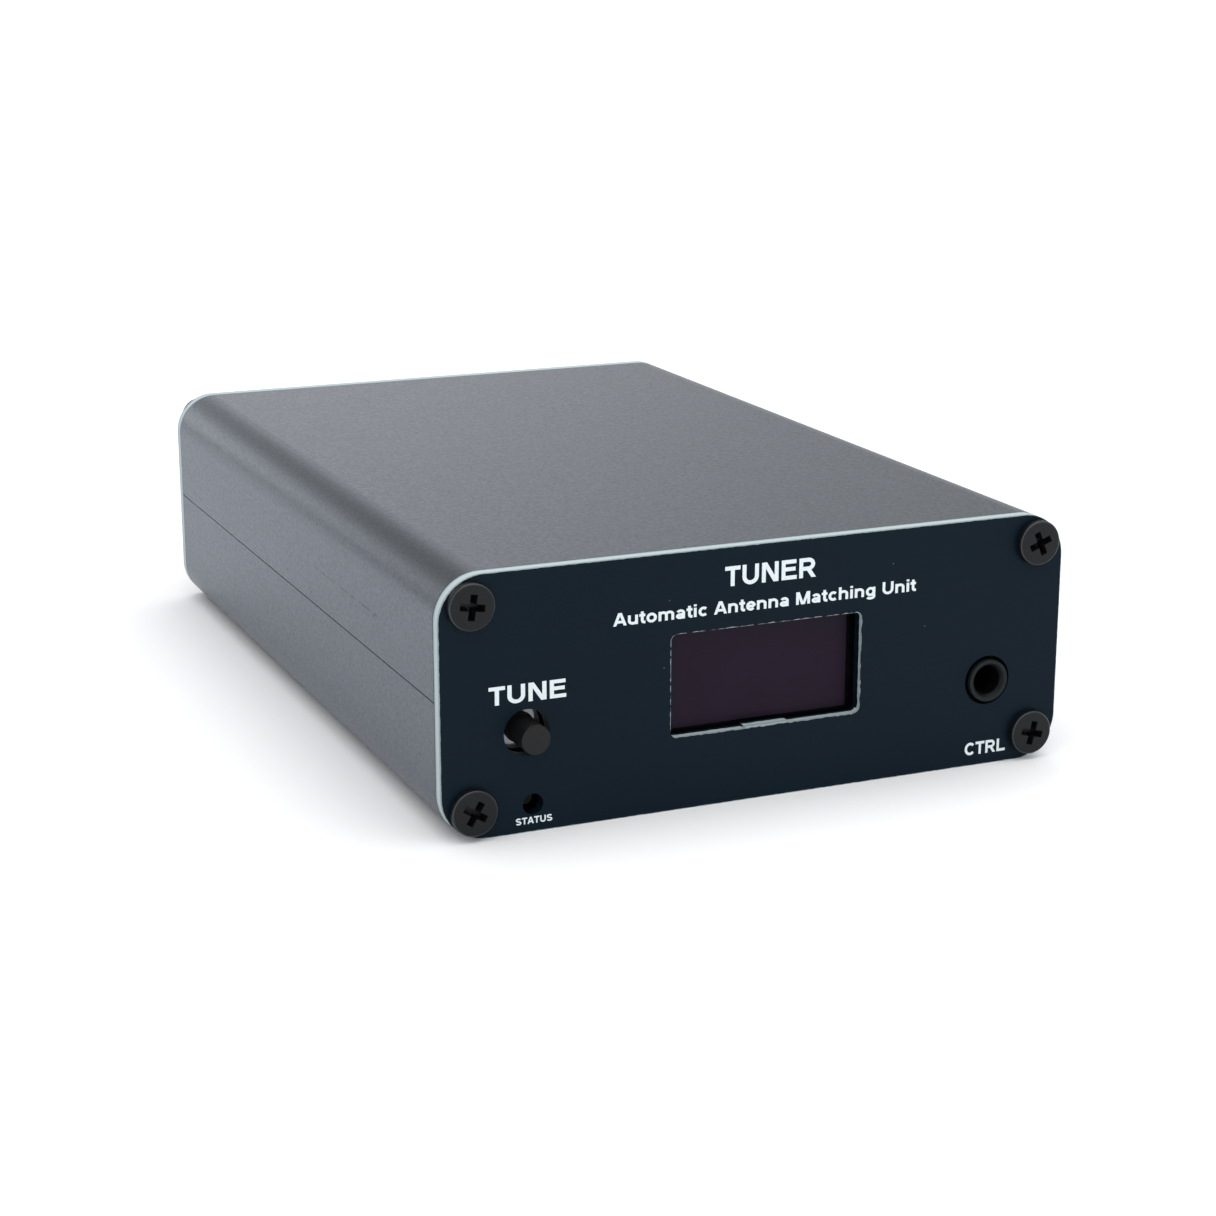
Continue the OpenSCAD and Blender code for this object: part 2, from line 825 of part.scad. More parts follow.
module tune_switch_base() {
    color("#1c1d1f") {
        difference() {
            block(button_x, switch_y, button_z - switch_w / 2, [switch_w, switch_depth, switch_w]);
            bar_y(button_x, switch_y - eps, button_z, collar_d + 2 * well_gap,
                  dome_y - switch_y + eps);
        }
        for (sx = [-1, 1])
            block(button_x + sx * switch_w / 4, switch_y + switch_depth - terminal_w, board_top,
                  [terminal_w, terminal_w, button_z - switch_w / 2 - board_top]);
    }
}

// A shallow cap of sheet metal behind the button, its crown towards the nub. It is a small part of
// a large ball, so the ball's outline is drawn finely.
module tune_switch_dome() {
    half = collar_d / 2;
    ball_r = (half * half + dome_rise * dome_rise) / (2 * dome_rise);
    ball_fn = 720;
    color("silver")
        translate([button_x, crown_y, button_z])
            rotate([-90, 0, 0])
                rotate_extrude()
                    intersection() {
                        difference() {
                            translate([0, ball_r]) circle(ball_r, $fn = ball_fn);
                            translate([0, ball_r]) circle(ball_r - dome_t, $fn = ball_fn);
                        }
                        square([half, dome_rise]);
                    }
}

// ---- status light ----

module status_light() {
    color("#3a3f3d") {
        bar_y(light_x, light_y, light_z, light_d, light_l);
        bar_y(light_x, light_y + light_l - eps, light_z, light_flange_d, eps + light_lead);
    }
    color("silver")
        for (sx = [-1, 1]) {
            lead_y = light_y + light_l + light_lead;
            block(light_x + sx * light_lead_pitch / 2, lead_y, light_z - light_lead / 2,
                  [light_lead, 2 * light_lead, light_lead]);
            block(light_x + sx * light_lead_pitch / 2, lead_y + light_lead, light_z - light_lead / 2,
                  [light_lead, light_lead, light_drop + light_lead / 2]);
        }
}

// ---- control jack ----

// A slot from the bore out through the side of the body
module spring_slot(i) {
    reach = jack_body_w / 2 + eps;
    block(jack_x + spring_sides[i] * reach / 2, jack_y + spring_backs[i] - spring_gap,
          jack_z - spring_w / 2 - spring_gap,
          [reach, spring_l + 2 * spring_gap, spring_w + 2 * spring_gap]);
}

// A leaf beside the bore, an arm out through the slot and a leg down to the board
module contact_spring(i) {
    near = jack_bore_d / 2 + spring_gap;
    far = jack_body_w / 2 + spring_gap + spring_t;
    y = jack_y + spring_backs[i];
    translate([jack_x, y, jack_z])
        mirror([spring_sides[i] < 0 ? 1 : 0, 0, 0]) {
            block(near + spring_t / 2, 0, -spring_w / 2, [spring_t, spring_l, spring_w]);
            block((near + far) / 2, spring_l - spring_t, -spring_w / 2,
                  [far - near, spring_t, spring_w]);
            block(far - spring_t / 2, spring_l - spring_t - spring_w / 2, -jack_rise,
                  [spring_t, spring_t + spring_w / 2, jack_rise + spring_w / 2]);
        }
}

module control_jack_body() {
    color("#131416")
        difference() {
            union() {
                bar_y(jack_x, jack_mouth_y, jack_z, jack_nose_d, jack_y - jack_mouth_y + eps);
                block(jack_x, jack_y, board_top, [jack_body_w, jack_body_l, 2 * jack_rise]);
            }
            bar_y(jack_x, jack_mouth_y, jack_z, jack_bore_d, jack_bore_l);
            cone_y(jack_x, jack_mouth_y, jack_z, jack_mouth_d, jack_bore_d, jack_mouth_t);
            for (i = [0:2])
                spring_slot(i);
        }
}

module control_jack_springs() {
    color("silver")
        for (i = [0:2])
            contact_spring(i);
}

// ---- coaxial sockets ----

module socket_shell(x) {
    color("#c9c9c4")
        difference() {
            union() {
                along_y(rear_y, socket_flange_t)
                    translate([x, socket_z]) hexagon(socket_hex);
                bar_y(x, rear_y, socket_z, shoulder_d, socket_flange_t + shoulder_l);
                bar_y(x, rear_y, socket_z, barrel_d - 2 * barrel_relief, socket_proud - barrel_front_l);
                bar_y(x, rear_y + socket_proud - barrel_front_l, socket_z, barrel_d,
                      barrel_front_l - mouth_bevel);
                cone_y(x, socket_end_y - mouth_bevel, socket_z, barrel_d, barrel_d - 2 * mouth_bevel,
                       mouth_bevel);
                bar_y(x, stem_y, socket_z, stem_d, rear_y - stem_y + eps);
                translate([x, socket_end_y - lug_back, socket_z - lug_span / 2])
                    cylinder(d = lug_d, h = lug_span);
            }
            bar_y(x, socket_end_y - mouth_l, socket_z, mouth_d, mouth_l + eps);
            cone_y(x, socket_end_y - mouth_bevel, socket_z, mouth_d, mouth_d + 2 * mouth_bevel,
                   mouth_bevel);
            bar_y(x, stem_y - eps, socket_z, insulator_d + 2 * nest_gap, socket_end_y - stem_y);
        }
}

module socket_insulator(x) {
    color("#eceae2")
        difference() {
            union() {
                bar_y(x, stem_y - insulator_flange_t, socket_z, insulator_d,
                      socket_end_y - contact_back - stem_y + insulator_flange_t);
                bar_y(x, stem_y - insulator_flange_t, socket_z, insulator_flange_d, insulator_flange_t);
            }
            bar_y(x, stem_y - insulator_flange_t - eps, socket_z, contact_d + 2 * nest_gap,
                  socket_end_y - stem_y + insulator_flange_t);
        }
}

module socket_contact(x) {
    contact_y = stem_y - insulator_flange_t - blade_t;
    contact_end_y = socket_end_y - contact_back;
    color("gold")
        difference() {
            union() {
                bar_y(x, contact_y, socket_z, contact_d, contact_end_y - contact_y);
                bar_y(x, contact_y, socket_z, contact_collar_d, blade_t);
                block(x, blade_y, socket_z - blade_t / 2, [blade_w, contact_y + eps - blade_y, blade_t]);
            }
            bar_y(x, contact_end_y - mouth_l, socket_z, contact_hole_d, mouth_l + eps);
        }
}

module antenna_socket_shell() { socket_shell(-socket_x); }
module antenna_socket_insulator() { socket_insulator(-socket_x); }
module antenna_socket_contact() { socket_contact(-socket_x); }
module radio_socket_shell() { socket_shell(socket_x); }
module radio_socket_insulator() { socket_insulator(socket_x); }
module radio_socket_contact() { socket_contact(socket_x); }

module socket_nuts() {
    color("#c9c9c4")
        for (sx = [-1, 1])
            along_y(socket_nut_y, socket_nut_t)
                translate([sx * socket_x, socket_z])
                    difference() {
                        hexagon(socket_hex);
                        circle(d = socket_hole_d);
                    }
}

module socket_washers() {
    color("#c9c9c4")
        for (sx = [-1, 1])
            along_y(rear_in_y - socket_washer_t, socket_washer_t)
                translate([sx * socket_x, socket_z])
                    difference() {
                        circle(d = socket_washer_d);
                        circle(d = socket_hole_d);
                    }
}

// A lead under each solder blade, and the ground terminal's solder tag
module solder_leads() {
    color("#b87333")
        for (sx = [-1, 1])
            translate([sx * socket_x, blade_y + blade_w / 2, board_top])
                cylinder(d = lead_d, h = socket_z - blade_t / 2 - board_top);
    color("silver")
        along_y(rear_in_y - tag_t, tag_t)
            difference() {
                union() {
                    translate([ground_x, ground_z]) circle(d = stud_head_d);
                    translate([ground_x - tag_w / 2, board_top]) square([tag_w, ground_z - board_top]);
                }
                translate([ground_x, ground_z]) circle(d = stud_bore_d);
            }
}

// ---- charge socket ----

module charge_socket_shell() {
    color("#c9c9c4") {
        along_y(charge_y, charge_l)
            translate([charge_x, charge_z])
                difference() {
                    stadium(charge_w, charge_h);
                    stadium(charge_w - 2 * charge_wall, charge_h - 2 * charge_wall);
                }
        along_y(charge_y, charge_back_t)
            translate([charge_x, charge_z])
                stadium(charge_w, charge_h);
    }
}

module charge_socket_tongue() {
    color("#15161a")
        block(charge_x, charge_y + charge_back_t, charge_z - charge_tongue_t / 2,
              [charge_tongue_w, charge_l - charge_back_t - charge_tongue_back, charge_tongue_t]);
}

// ---- ground terminal ----

module ground_stud() {
    color("#c9c9c4") {
        bar_y(ground_x, rear_in_y - tag_t, ground_z, stud_d, tag_t + panel_t + stud_proud);
        bar_y(ground_x, rear_in_y - tag_t - stud_head_h, ground_z, stud_head_d, stud_head_h);
    }
}

module ground_fixing_nut() {
    color("#c9c9c4")
        along_y(rear_y, ground_nut_t)
            translate([ground_x, ground_z])
                difference() {
                    hexagon(ground_nut_hex);
                    circle(d = stud_bore_d);
                }
}

module ground_clamp_washer() {
    color("#c9c9c4")
        along_y(washer_y, washer_t)
            translate([ground_x, ground_z])
                difference() {
                    circle(d = washer_d);
                    circle(d = stud_bore_d);
                }
}

module ground_thumb_nut() {
    color("#b9953f")
        difference() {
            union() {
                bar_y(ground_x, thumb_y, ground_z, thumb_d, thumb_l);
                bar_y(ground_x, thumb_y, ground_z, thumb_hub_d, thumb_l + thumb_hub_l);
            }
            bar_y(ground_x, thumb_y - eps, ground_z, stud_bore_d, thumb_l + thumb_hub_l + 2 * eps);
            for (i = [0:knurl_count - 1]) {
                a = 360 * i / knurl_count;
                bar_y(ground_x + thumb_d / 2 * cos(a), thumb_y - eps, ground_z + thumb_d / 2 * sin(a),
                      knurl_d, thumb_l + 2 * eps);
            }
        }
}

// ---- battery ----

module battery_cell() {
    color("#3f6f9e") {
        bar_y(cell_x, cell_y, cell_z, cell_d, cell_l);
        bar_y(cell_x, cell_y - cell_button_l, cell_z, cell_button_d, cell_button_l + eps);
    }
}

module battery_holder() {
    color("#1c1d1f")
        difference() {
            block(cell_x, holder_front_y, board_top, [holder_w, holder_l, holder_h]);
            bar_y(cell_x, holder_front_y + holder_wall, cell_z, cell_d + 2 * cell_gap,
                  holder_l - 2 * holder_wall);
        }
}

// A plate at each end of the cell, standing on the cradle's end wall
module battery_contacts() {
    color("silver")
        for (y = [holder_front_y + holder_wall, holder_front_y + holder_l - holder_wall - clip_t])
            bar_y(cell_x, y, cell_z, clip_d, clip_t);
}

// ---- matching network ----

// The middle of relay, coil and capacitor i along the case
function step_y(i) = network_front_y + (i - 1) * relay_pitch;

// A sealed relay on short feet, centred on x and y
module relay(x, y) {
    color("#e8e6df")
        block(x, y - relay_l / 2, board_top + relay_foot, [relay_w, relay_l, relay_h - relay_foot]);
    color("silver")
        for (sx = [-1, 1], n = [-1:1])
            block(x + sx * (relay_w / 2 - relay_foot_in), y + n * relay_l / 3 - terminal_w / 2, board_top,
                  [terminal_w, terminal_w, relay_foot]);
}

module coil_relay(i) { relay(coil_relay_x, step_y(i)); }
module capacitor_relay(i) { relay(capacitor_relay_x, step_y(i)); }
module swap_relay() { relay(capacitor_relay_x, step_y(steps + 1)); }

// A toroid core standing on edge, with its turns spaced round it
module coil(i) {
    core_d = core_first_d + (i - 1) * core_step_d;
    ring = core_d * core_ring_share;
    thick = core_d * core_thick_share;
    turns = turns_first + (i - 1) * turns_step;
    middle = (core_d - ring) / 2;
    loop_r = sqrt(ring * ring + thick * thick) / 2 + wire_gap + wire_d / 2;
    outer_r = middle + loop_r + wire_d / 2;
    translate([coil_x, step_y(i), board_top + coil_rest + outer_r])
        rotate([-90, 0, 0]) {
            color("#8e2f2a")
                rotate_extrude()
                    translate([middle, 0]) square([ring, thick], center = true);
            color("#b87333")
                for (n = [0:turns - 1])
                    rotate(360 * n / turns)
                        translate([middle, 0, 0])
                            rotate([90, 0, 0])
                                rotate_extrude()
                                    translate([loop_r, 0]) circle(d = wire_d);
        }
}

module tuning_capacitors() {
    color("#c8b48a")
        for (i = [1:steps])
            block(chip_cap_x, step_y(i) - chip_cap_l / 2, board_top,
                  [chip_cap_w, chip_cap_l, chip_cap_h]);
}

// Two small transformer cores that measure the forward and the reflected wave
module sensing_transformers() {
    color("#3d3f42")
        for (sx = [-1, 1])
            translate([coil_relay_x + sx * (sensor_d + sensor_gap) / 2, step_y(steps + 1), board_top])
                difference() {
                    cylinder(d = sensor_d, h = sensor_h);
                    translate([0, 0, -eps]) cylinder(d = sensor_hole_d, h = sensor_h + 2 * eps);
                }
}

module controller_chip() {
    chip_y = display_back_y + header_w + controller_w;
    lead_pitch = controller_w / (controller_leads + 1);
    lead_w = lead_pitch / 2;
    translate([coil_x, chip_y, board_top]) {
        color("#1a1b1d")
            block(0, -controller_w / 2, lead_w, [controller_w, controller_w, controller_h - lead_w]);
        color("silver")
            for (side = [0:3], n = [1:controller_leads])
                rotate(90 * side)
                    block((n - (controller_leads + 1) / 2) * lead_pitch, controller_w / 2 - lead_w, 0,
                          [lead_w, 3 * lead_w, lead_w]);
    }
}

// ---- what is drawn ----

top_shell();
bottom_shell();
front_panel();
rear_panel();
panel_screws();
display_film();
display_glass();
display_board();
display_header();
tune_button();
tune_switch_cover();
tune_switch_base();
tune_switch_dome();
status_light();
control_jack_body();
control_jack_springs();
antenna_socket_shell();
antenna_socket_insulator();
antenna_socket_contact();
radio_socket_shell();
radio_socket_insulator();
radio_socket_contact();
socket_nuts();
socket_washers();
solder_leads();
charge_socket_shell();
charge_socket_tongue();
ground_stud();
ground_fixing_nut();
ground_clamp_washer();
ground_thumb_nut();
main_board();
battery_cell();
battery_holder();
battery_contacts();
controller_chip();
sensing_transformers();
tuning_capacitors();
swap_relay();
for (i = [1:steps]) {
    coil(i);
    coil_relay(i);
    capacitor_relay(i);
}
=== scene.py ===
"""A small automatic antenna tuner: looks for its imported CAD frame, with a stage, lights and a camera.

Everything is in metres, with X to the right of the front panel, Y to the back and Z up.
"""

import math
from functools import partial

import bmesh
import bpy
from bpy.props import FloatProperty, FloatVectorProperty, IntProperty, PointerProperty
from mathutils import Matrix, Vector


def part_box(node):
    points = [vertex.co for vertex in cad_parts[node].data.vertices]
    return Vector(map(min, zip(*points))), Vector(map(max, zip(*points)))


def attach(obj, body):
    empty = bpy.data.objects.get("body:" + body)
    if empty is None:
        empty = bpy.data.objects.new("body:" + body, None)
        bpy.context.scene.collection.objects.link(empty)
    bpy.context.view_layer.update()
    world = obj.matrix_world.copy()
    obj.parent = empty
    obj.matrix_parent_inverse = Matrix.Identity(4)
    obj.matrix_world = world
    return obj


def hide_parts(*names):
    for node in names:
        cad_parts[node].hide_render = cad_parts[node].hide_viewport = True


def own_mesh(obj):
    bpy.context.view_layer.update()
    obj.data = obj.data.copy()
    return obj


bl_info = {
    "name": "Antenna tuner",
    "version": (1, 0, 0),
    "blender": (4, 5, 0),
    "location": "3D View > Sidebar > Antenna tuner",
    "description": "Finishes a small antenna tuner round its packed frame and sets its stage",
    "category": "Object",
}

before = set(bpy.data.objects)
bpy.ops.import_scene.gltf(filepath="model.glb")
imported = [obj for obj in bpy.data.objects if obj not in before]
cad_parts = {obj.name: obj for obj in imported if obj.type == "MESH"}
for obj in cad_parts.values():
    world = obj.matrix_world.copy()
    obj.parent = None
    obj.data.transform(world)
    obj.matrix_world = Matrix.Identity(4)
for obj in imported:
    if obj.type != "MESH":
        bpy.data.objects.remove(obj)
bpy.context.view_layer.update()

MM = 0.001
CASE_LOW, CASE_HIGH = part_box("top_shell")
FRONT_LOW, FRONT_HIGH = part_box("front_panel")
REAR_LOW, REAR_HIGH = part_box("rear_panel")
FRONT_Y = FRONT_LOW.y
REAR_Y = REAR_HIGH.y
CASE_W = FRONT_HIGH.x - FRONT_LOW.x
CASE_H = FRONT_HIGH.z - FRONT_LOW.z
CORNER_R = 5.4 * MM
# Half width, half height, corner radius and centre of the display window
WINDOW = (12.3 * MM, 6.2 * MM, 0.8 * MM, 0.35 * MM, 15 * MM)
# How far in from the front the window's walls show bare laminate, all round and on the sill. Deeper in, the
# walls are painted dark as painted shade, and the sill, which faces up, stays pale further in as painted
# light
LIP_DEPTH = 0.5 * MM
SILL_DEPTH = 1.0 * MM
# A wall this close to an outline belongs to it
NEAR_OUTLINE = 0.4 * MM
# A scratch along the left side, above the seam
SCRATCH_Z = CASE_LOW.z + 4.9 * MM
SCRATCH_Y = -30 * MM
# The middle of the jack's mouth below its body's top, and the nose's ring that is painted lighter as a
# highlight
JACK_DROP = 3 * MM
NOSE_DEPTH = 0.5 * MM
NOSE_INNER_R = 1.85 * MM
NOSE_OUTER_R = 2.2 * MM
# How far the turns of a coil stand off its core
WIRE_DEPTH = 0.54 * MM
SLOTS = {name: node.material_slots[0].material.name for name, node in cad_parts.items()}


def middle(node):
    """The middle of a CAD node's box."""
    low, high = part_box(node)
    return (low + high) / 2


def linear(hex_colour):
    """An sRGB hex colour as the linear red, green, blue and alpha that shaders take."""
    parts = [int(hex_colour[i : i + 2], 16) / 255 for i in (1, 3, 5)]
    return (*(c / 12.92 if c <= 0.04045 else ((c + 0.055) / 1.055) ** 2.4 for c in parts), 1.0)


def size(name, about, value):
    """A length property in metres, given in millimetres."""
    return FloatProperty(
        name=name, description=about, default=value * MM, unit="LENGTH", subtype="DISTANCE", precision=5
    )


def colour(name, about, hex_colour):
    """A colour property from an sRGB hex value."""
    return FloatVectorProperty(
        name=name, description=about, default=linear(hex_colour), subtype="COLOR", size=4, min=0, max=1
    )


# ---- what a user would change ----


class TunerSizes(bpy.types.PropertyGroup):
    """The sizes of what is added to the frame."""

    edge: size("Edge rounding", "Radius that catches the light along a moulded or machined edge", 0.12)
    raw_rim: size("Raw rim", "Bare laminate along a routed edge of a panel's face", 0.07)
    ink: size("Ink thickness", "How far the printed letters stand off a panel", 0.03)
    title_height: size("Title height", "Height of the title's capitals", 2.35)
    title_width: size("Title width", "Width of the title", 11.7)
    title_rise: size("Title rise", "Height of the title's foot", 26.15)
    line_height: size("Second line height", "Height of the second line's capitals", 1.5)
    line_width: size("Second line width", "Width of the second line", 39)
    line_rise: size("Second line rise", "Height of the second line's foot", 23)
    recess_width: size("Recess width", "Reach of a screw's cross recess from arm to arm", 3)
    recess_arm: size("Recess arm", "Width of an arm of the cross recess", 0.86)
    recess_depth: size("Recess depth", "Depth of the cross recess", 1.5)
    thread_pitch: size("Thread pitch", "Rise of the ground stud's thread in one turn", 0.7)
    knurls: IntProperty(name="Knurls", description="Ridges round the thumb nut", default=36, min=12, max=60)
    floor_side: size("Floor side", "Side of the floor under the tuner", 6000)


class TunerColours(bpy.types.PropertyGroup):
    """The colours of the tuner's finishes."""

    anodised: colour("Anodised case", "Dark grey anodised extrusion", "#696d72")
    mask: colour("Solder mask", "Blue-black solder mask of the panels", "#071620")
    laminate: colour("Bare laminate", "Routed edge of the fibreglass panels", "#98a5a8")
    ink: colour("Ink", "Printed letters", "#dde8ec")
    screw: colour("Screw", "Black oxide on the screws", "#141618")
    button: colour("Button", "Black plastic of the tune button", "#0e0f10")
    film: colour("Display film", "Polarising film over the unlit display", "#1d1222")
    floor: colour("Floor", "Pale floor under the tuner", "#f4f5f7")


# ---- shaders ----


def connect(socket, value):
    """Sets an input to a value, or links it to another node's output."""
    if isinstance(value, bpy.types.Node):
        value = next(output for output in value.outputs if output.enabled)
    if isinstance(value, bpy.types.NodeSocket):
        socket.id_data.links.new(value, socket)
    else:
        socket.default_value = value


def add_node(tree, kind, *values, inputs=None, **settings):
    """Adds a node, sets its properties, and fills its inputs, in order or by name, with values or with other
    nodes' outputs."""
    node = tree.nodes.new("ShaderNode" + kind)
    for name, value in settings.items():
        setattr(node, name, value)
    in_use = [socket for socket in node.inputs if socket.enabled]
    for socket, value in zip(in_use, values):
        connect(socket, value)
    for name, value in (inputs or {}).items():
        connect(node.inputs[name], value)
    return node


def fill(shader, **inputs):
    """Fills a shader's inputs, whose names have an underscore for each space."""
    for name, value in inputs.items():
        connect(shader.inputs[name.replace("_", " ")], value)


def start_material(name, **constants):
    """A new material with one Principled shader, whose constants are set on its own sockets."""
    material = bpy.data.materials.new(name)
    material.use_nodes = True
    material.node_tree.nodes.clear()
    add = partial(add_node, material.node_tree)
    shader = add("BsdfPrincipled")
    fill(shader, **constants)
    add("OutputMaterial", shader)
    return material, add, shader


def place_in_frame(add, stretch=(1, 1, 1)):
    """The place on the surface in the frame's metres, stretched to draw a pattern out along an axis."""
    place = add("TexCoord").outputs["Object"]
    if stretch == (1, 1, 1):
        return place
    return add("Mapping", place, inputs={"Scale": stretch})


def mottle(add, feature_mm, detail=2.0, stretch=(1, 1, 1)):
    """An uneven pattern whose features are about feature_mm across."""
    return add("TexNoise", place_in_frame(add, stretch), 1 / (feature_mm * MM), detail)


def distance(add, value, centre):
    """How far a value is from a centre, either way."""
    return add("Math", add("Math", value, centre, operation="SUBTRACT"), operation="ABSOLUTE")


def off_axis(add, spot):
    """The distance from the line along Y through a spot, and the way along it from there."""
    away = add("VectorMath", place_in_frame(add), spot, operation="SUBTRACT")
    part = add("SeparateXYZ", away)
    flat = add("CombineXYZ", part.outputs["X"], 0, part.outputs["Z"])
    return add("VectorMath", flat, operation="LENGTH"), part.outputs["Y"]


def off_outline(add, half_x, half_z, radius, centre_x, centre_z):
    """Distance outwards from a rectangle with round corners in X and Z, less than 0 inside it."""
    place = add("VectorMath", place_in_frame(add), (centre_x, 0, centre_z), operation="SUBTRACT")
    folded = add("VectorMath", place, operation="ABSOLUTE")
    core = (half_x - radius, 1.0, half_z - radius)
    past = add("VectorMath", folded, core, operation="SUBTRACT")
    clipped = add("VectorMath", past, (0, 0, 0), operation="MAXIMUM")
    reach = add("VectorMath", clipped, operation="LENGTH")
    return add("Math", reach, radius, operation="SUBTRACT")


def shade(rgba, share):
    """A colour made lighter or darker by a share."""
    return (*(min(1.0, c * share) for c in rgba[:3]), 1.0)


def rough_surface(add, shader, height, depth_mm, edge=0.0):
    """Bump of a real depth, on edges that are rounded by the radius edge."""
    bump = add("Bump", 1.0, depth_mm * MM, inputs={"Height": height})
    if edge:
        connect(bump.inputs["Normal"], add("Bevel", edge, samples=4))
    fill(shader, Normal=bump)


def pits(add):
    """1 in a few scattered pits, 0 elsewhere."""
    cells = add("TexVoronoi", place_in_frame(add), 1 / (2.5 * MM))
    pit = add("MapRange", cells, 0.06, 0.11, 1, 0)
    chosen = add("Math", mottle(add, 9.0), 0.64, operation="GREATER_THAN")
    return add("Math", pit, chosen, operation="MULTIPLY")


def broken_scratch(add):
    """1 on a broken scratch along the left side, 0 elsewhere."""
    place = add("SeparateXYZ", place_in_frame(add))
    line = add("MapRange", distance(add, place.outputs["Z"], SCRATCH_Z), 0.04 * MM, 0.16 * MM, 1, 0)
    length = add("MapRange", distance(add, place.outputs["Y"], SCRATCH_Y), 12 * MM, 17 * MM, 1, 0)
    on_side = add("Math", place.outputs["X"], 0.98 * CASE_LOW.x, operation="LESS_THAN")
    breaks = add("MapRange", mottle(add, 0.9, stretch=(1, 0.6, 1)), 0.4, 0.6, 0, 1)
    for limit in (length, on_side, breaks):
        line = add("Math", line, limit, operation="MULTIPLY")
    return line


def blasted_anodised_aluminium(colours, sizes):
    """Extruded, blasted and anodised aluminium: a grey satin metal with a fine grain, faint draw lines along
    the extrusion, a few dark pits, and one broken scratch along the left side. The real grain is too fine to
    show, so it is drawn about four times as coarse."""
    base = tuple(colours.anodised)
    tint = linear("#e6e9ee")
    material, add, shader = start_material("blasted_anodised_aluminium", Metallic=1.0, Specular_Tint=tint)
    grain = mottle(add, 0.42, detail=3.0)
    cloud = mottle(add, 7.0, detail=3.0)
    tone = add("Mix", cloud, shade(base, 0.96), shade(base, 1.04), data_type="RGBA")
    tone = add("Mix", add("MapRange", grain, 0.35, 0.65, 0, 0.6), tone, shade(base, 0.66), data_type="RGBA")
    marks = add("Math", pits(add), broken_scratch(add), operation="MAXIMUM")
    tone = add("Mix", marks, tone, shade(base, 0.3), data_type="RGBA")
    fill(shader, Base_Color=tone, Roughness=add("MapRange", grain, 0.3, 0.7, 0.29, 0.37))
    draw_lines = mottle(add, 0.9, detail=1.0, stretch=(1, 0.02, 1))
    draw_lines = add("Math", draw_lines, 0.25, operation="MULTIPLY")
    height = add("Math", grain, draw_lines, operation="ADD")
    rough_surface(add, shader, height, 0.008, edge=sizes.edge)
    return material


def raw_window(add, raw_rim, rag, deep, upward):
    """Where the window's rim is raw on the panel's face, and where its walls show bare laminate: a lip all
    round, and further in on the sill, which faces up and stays pale as painted light. Deeper in, the walls
    are painted dark as painted shade."""
    inner = off_outline(add, *WINDOW)
    rim = add("Math", add("Math", inner, rag, operation="ADD"), 0.6 * raw_rim, operation="LESS_THAN")
    ragged = add("Math", deep, rag, operation="ADD")
    # Painted shade: past the lip the walls keep the mask's dark colour, but the up-facing sill stays pale
    # deeper in as painted light
    lip = add("Math", ragged, FRONT_Y + LIP_DEPTH, operation="LESS_THAN")
    sill = add("Math", ragged, FRONT_Y + SILL_DEPTH, operation="LESS_THAN")
    sill = add("Math", sill, add("Math", upward, 0.5, operation="GREATER_THAN"), operation="MULTIPLY")
    walls = add("Math", lip, sill, operation="MAXIMUM")
    near = add("Math", inner, NEAR_OUTLINE, operation="LESS_THAN")
    return rim, add("Math", walls, near, operation="MULTIPLY")


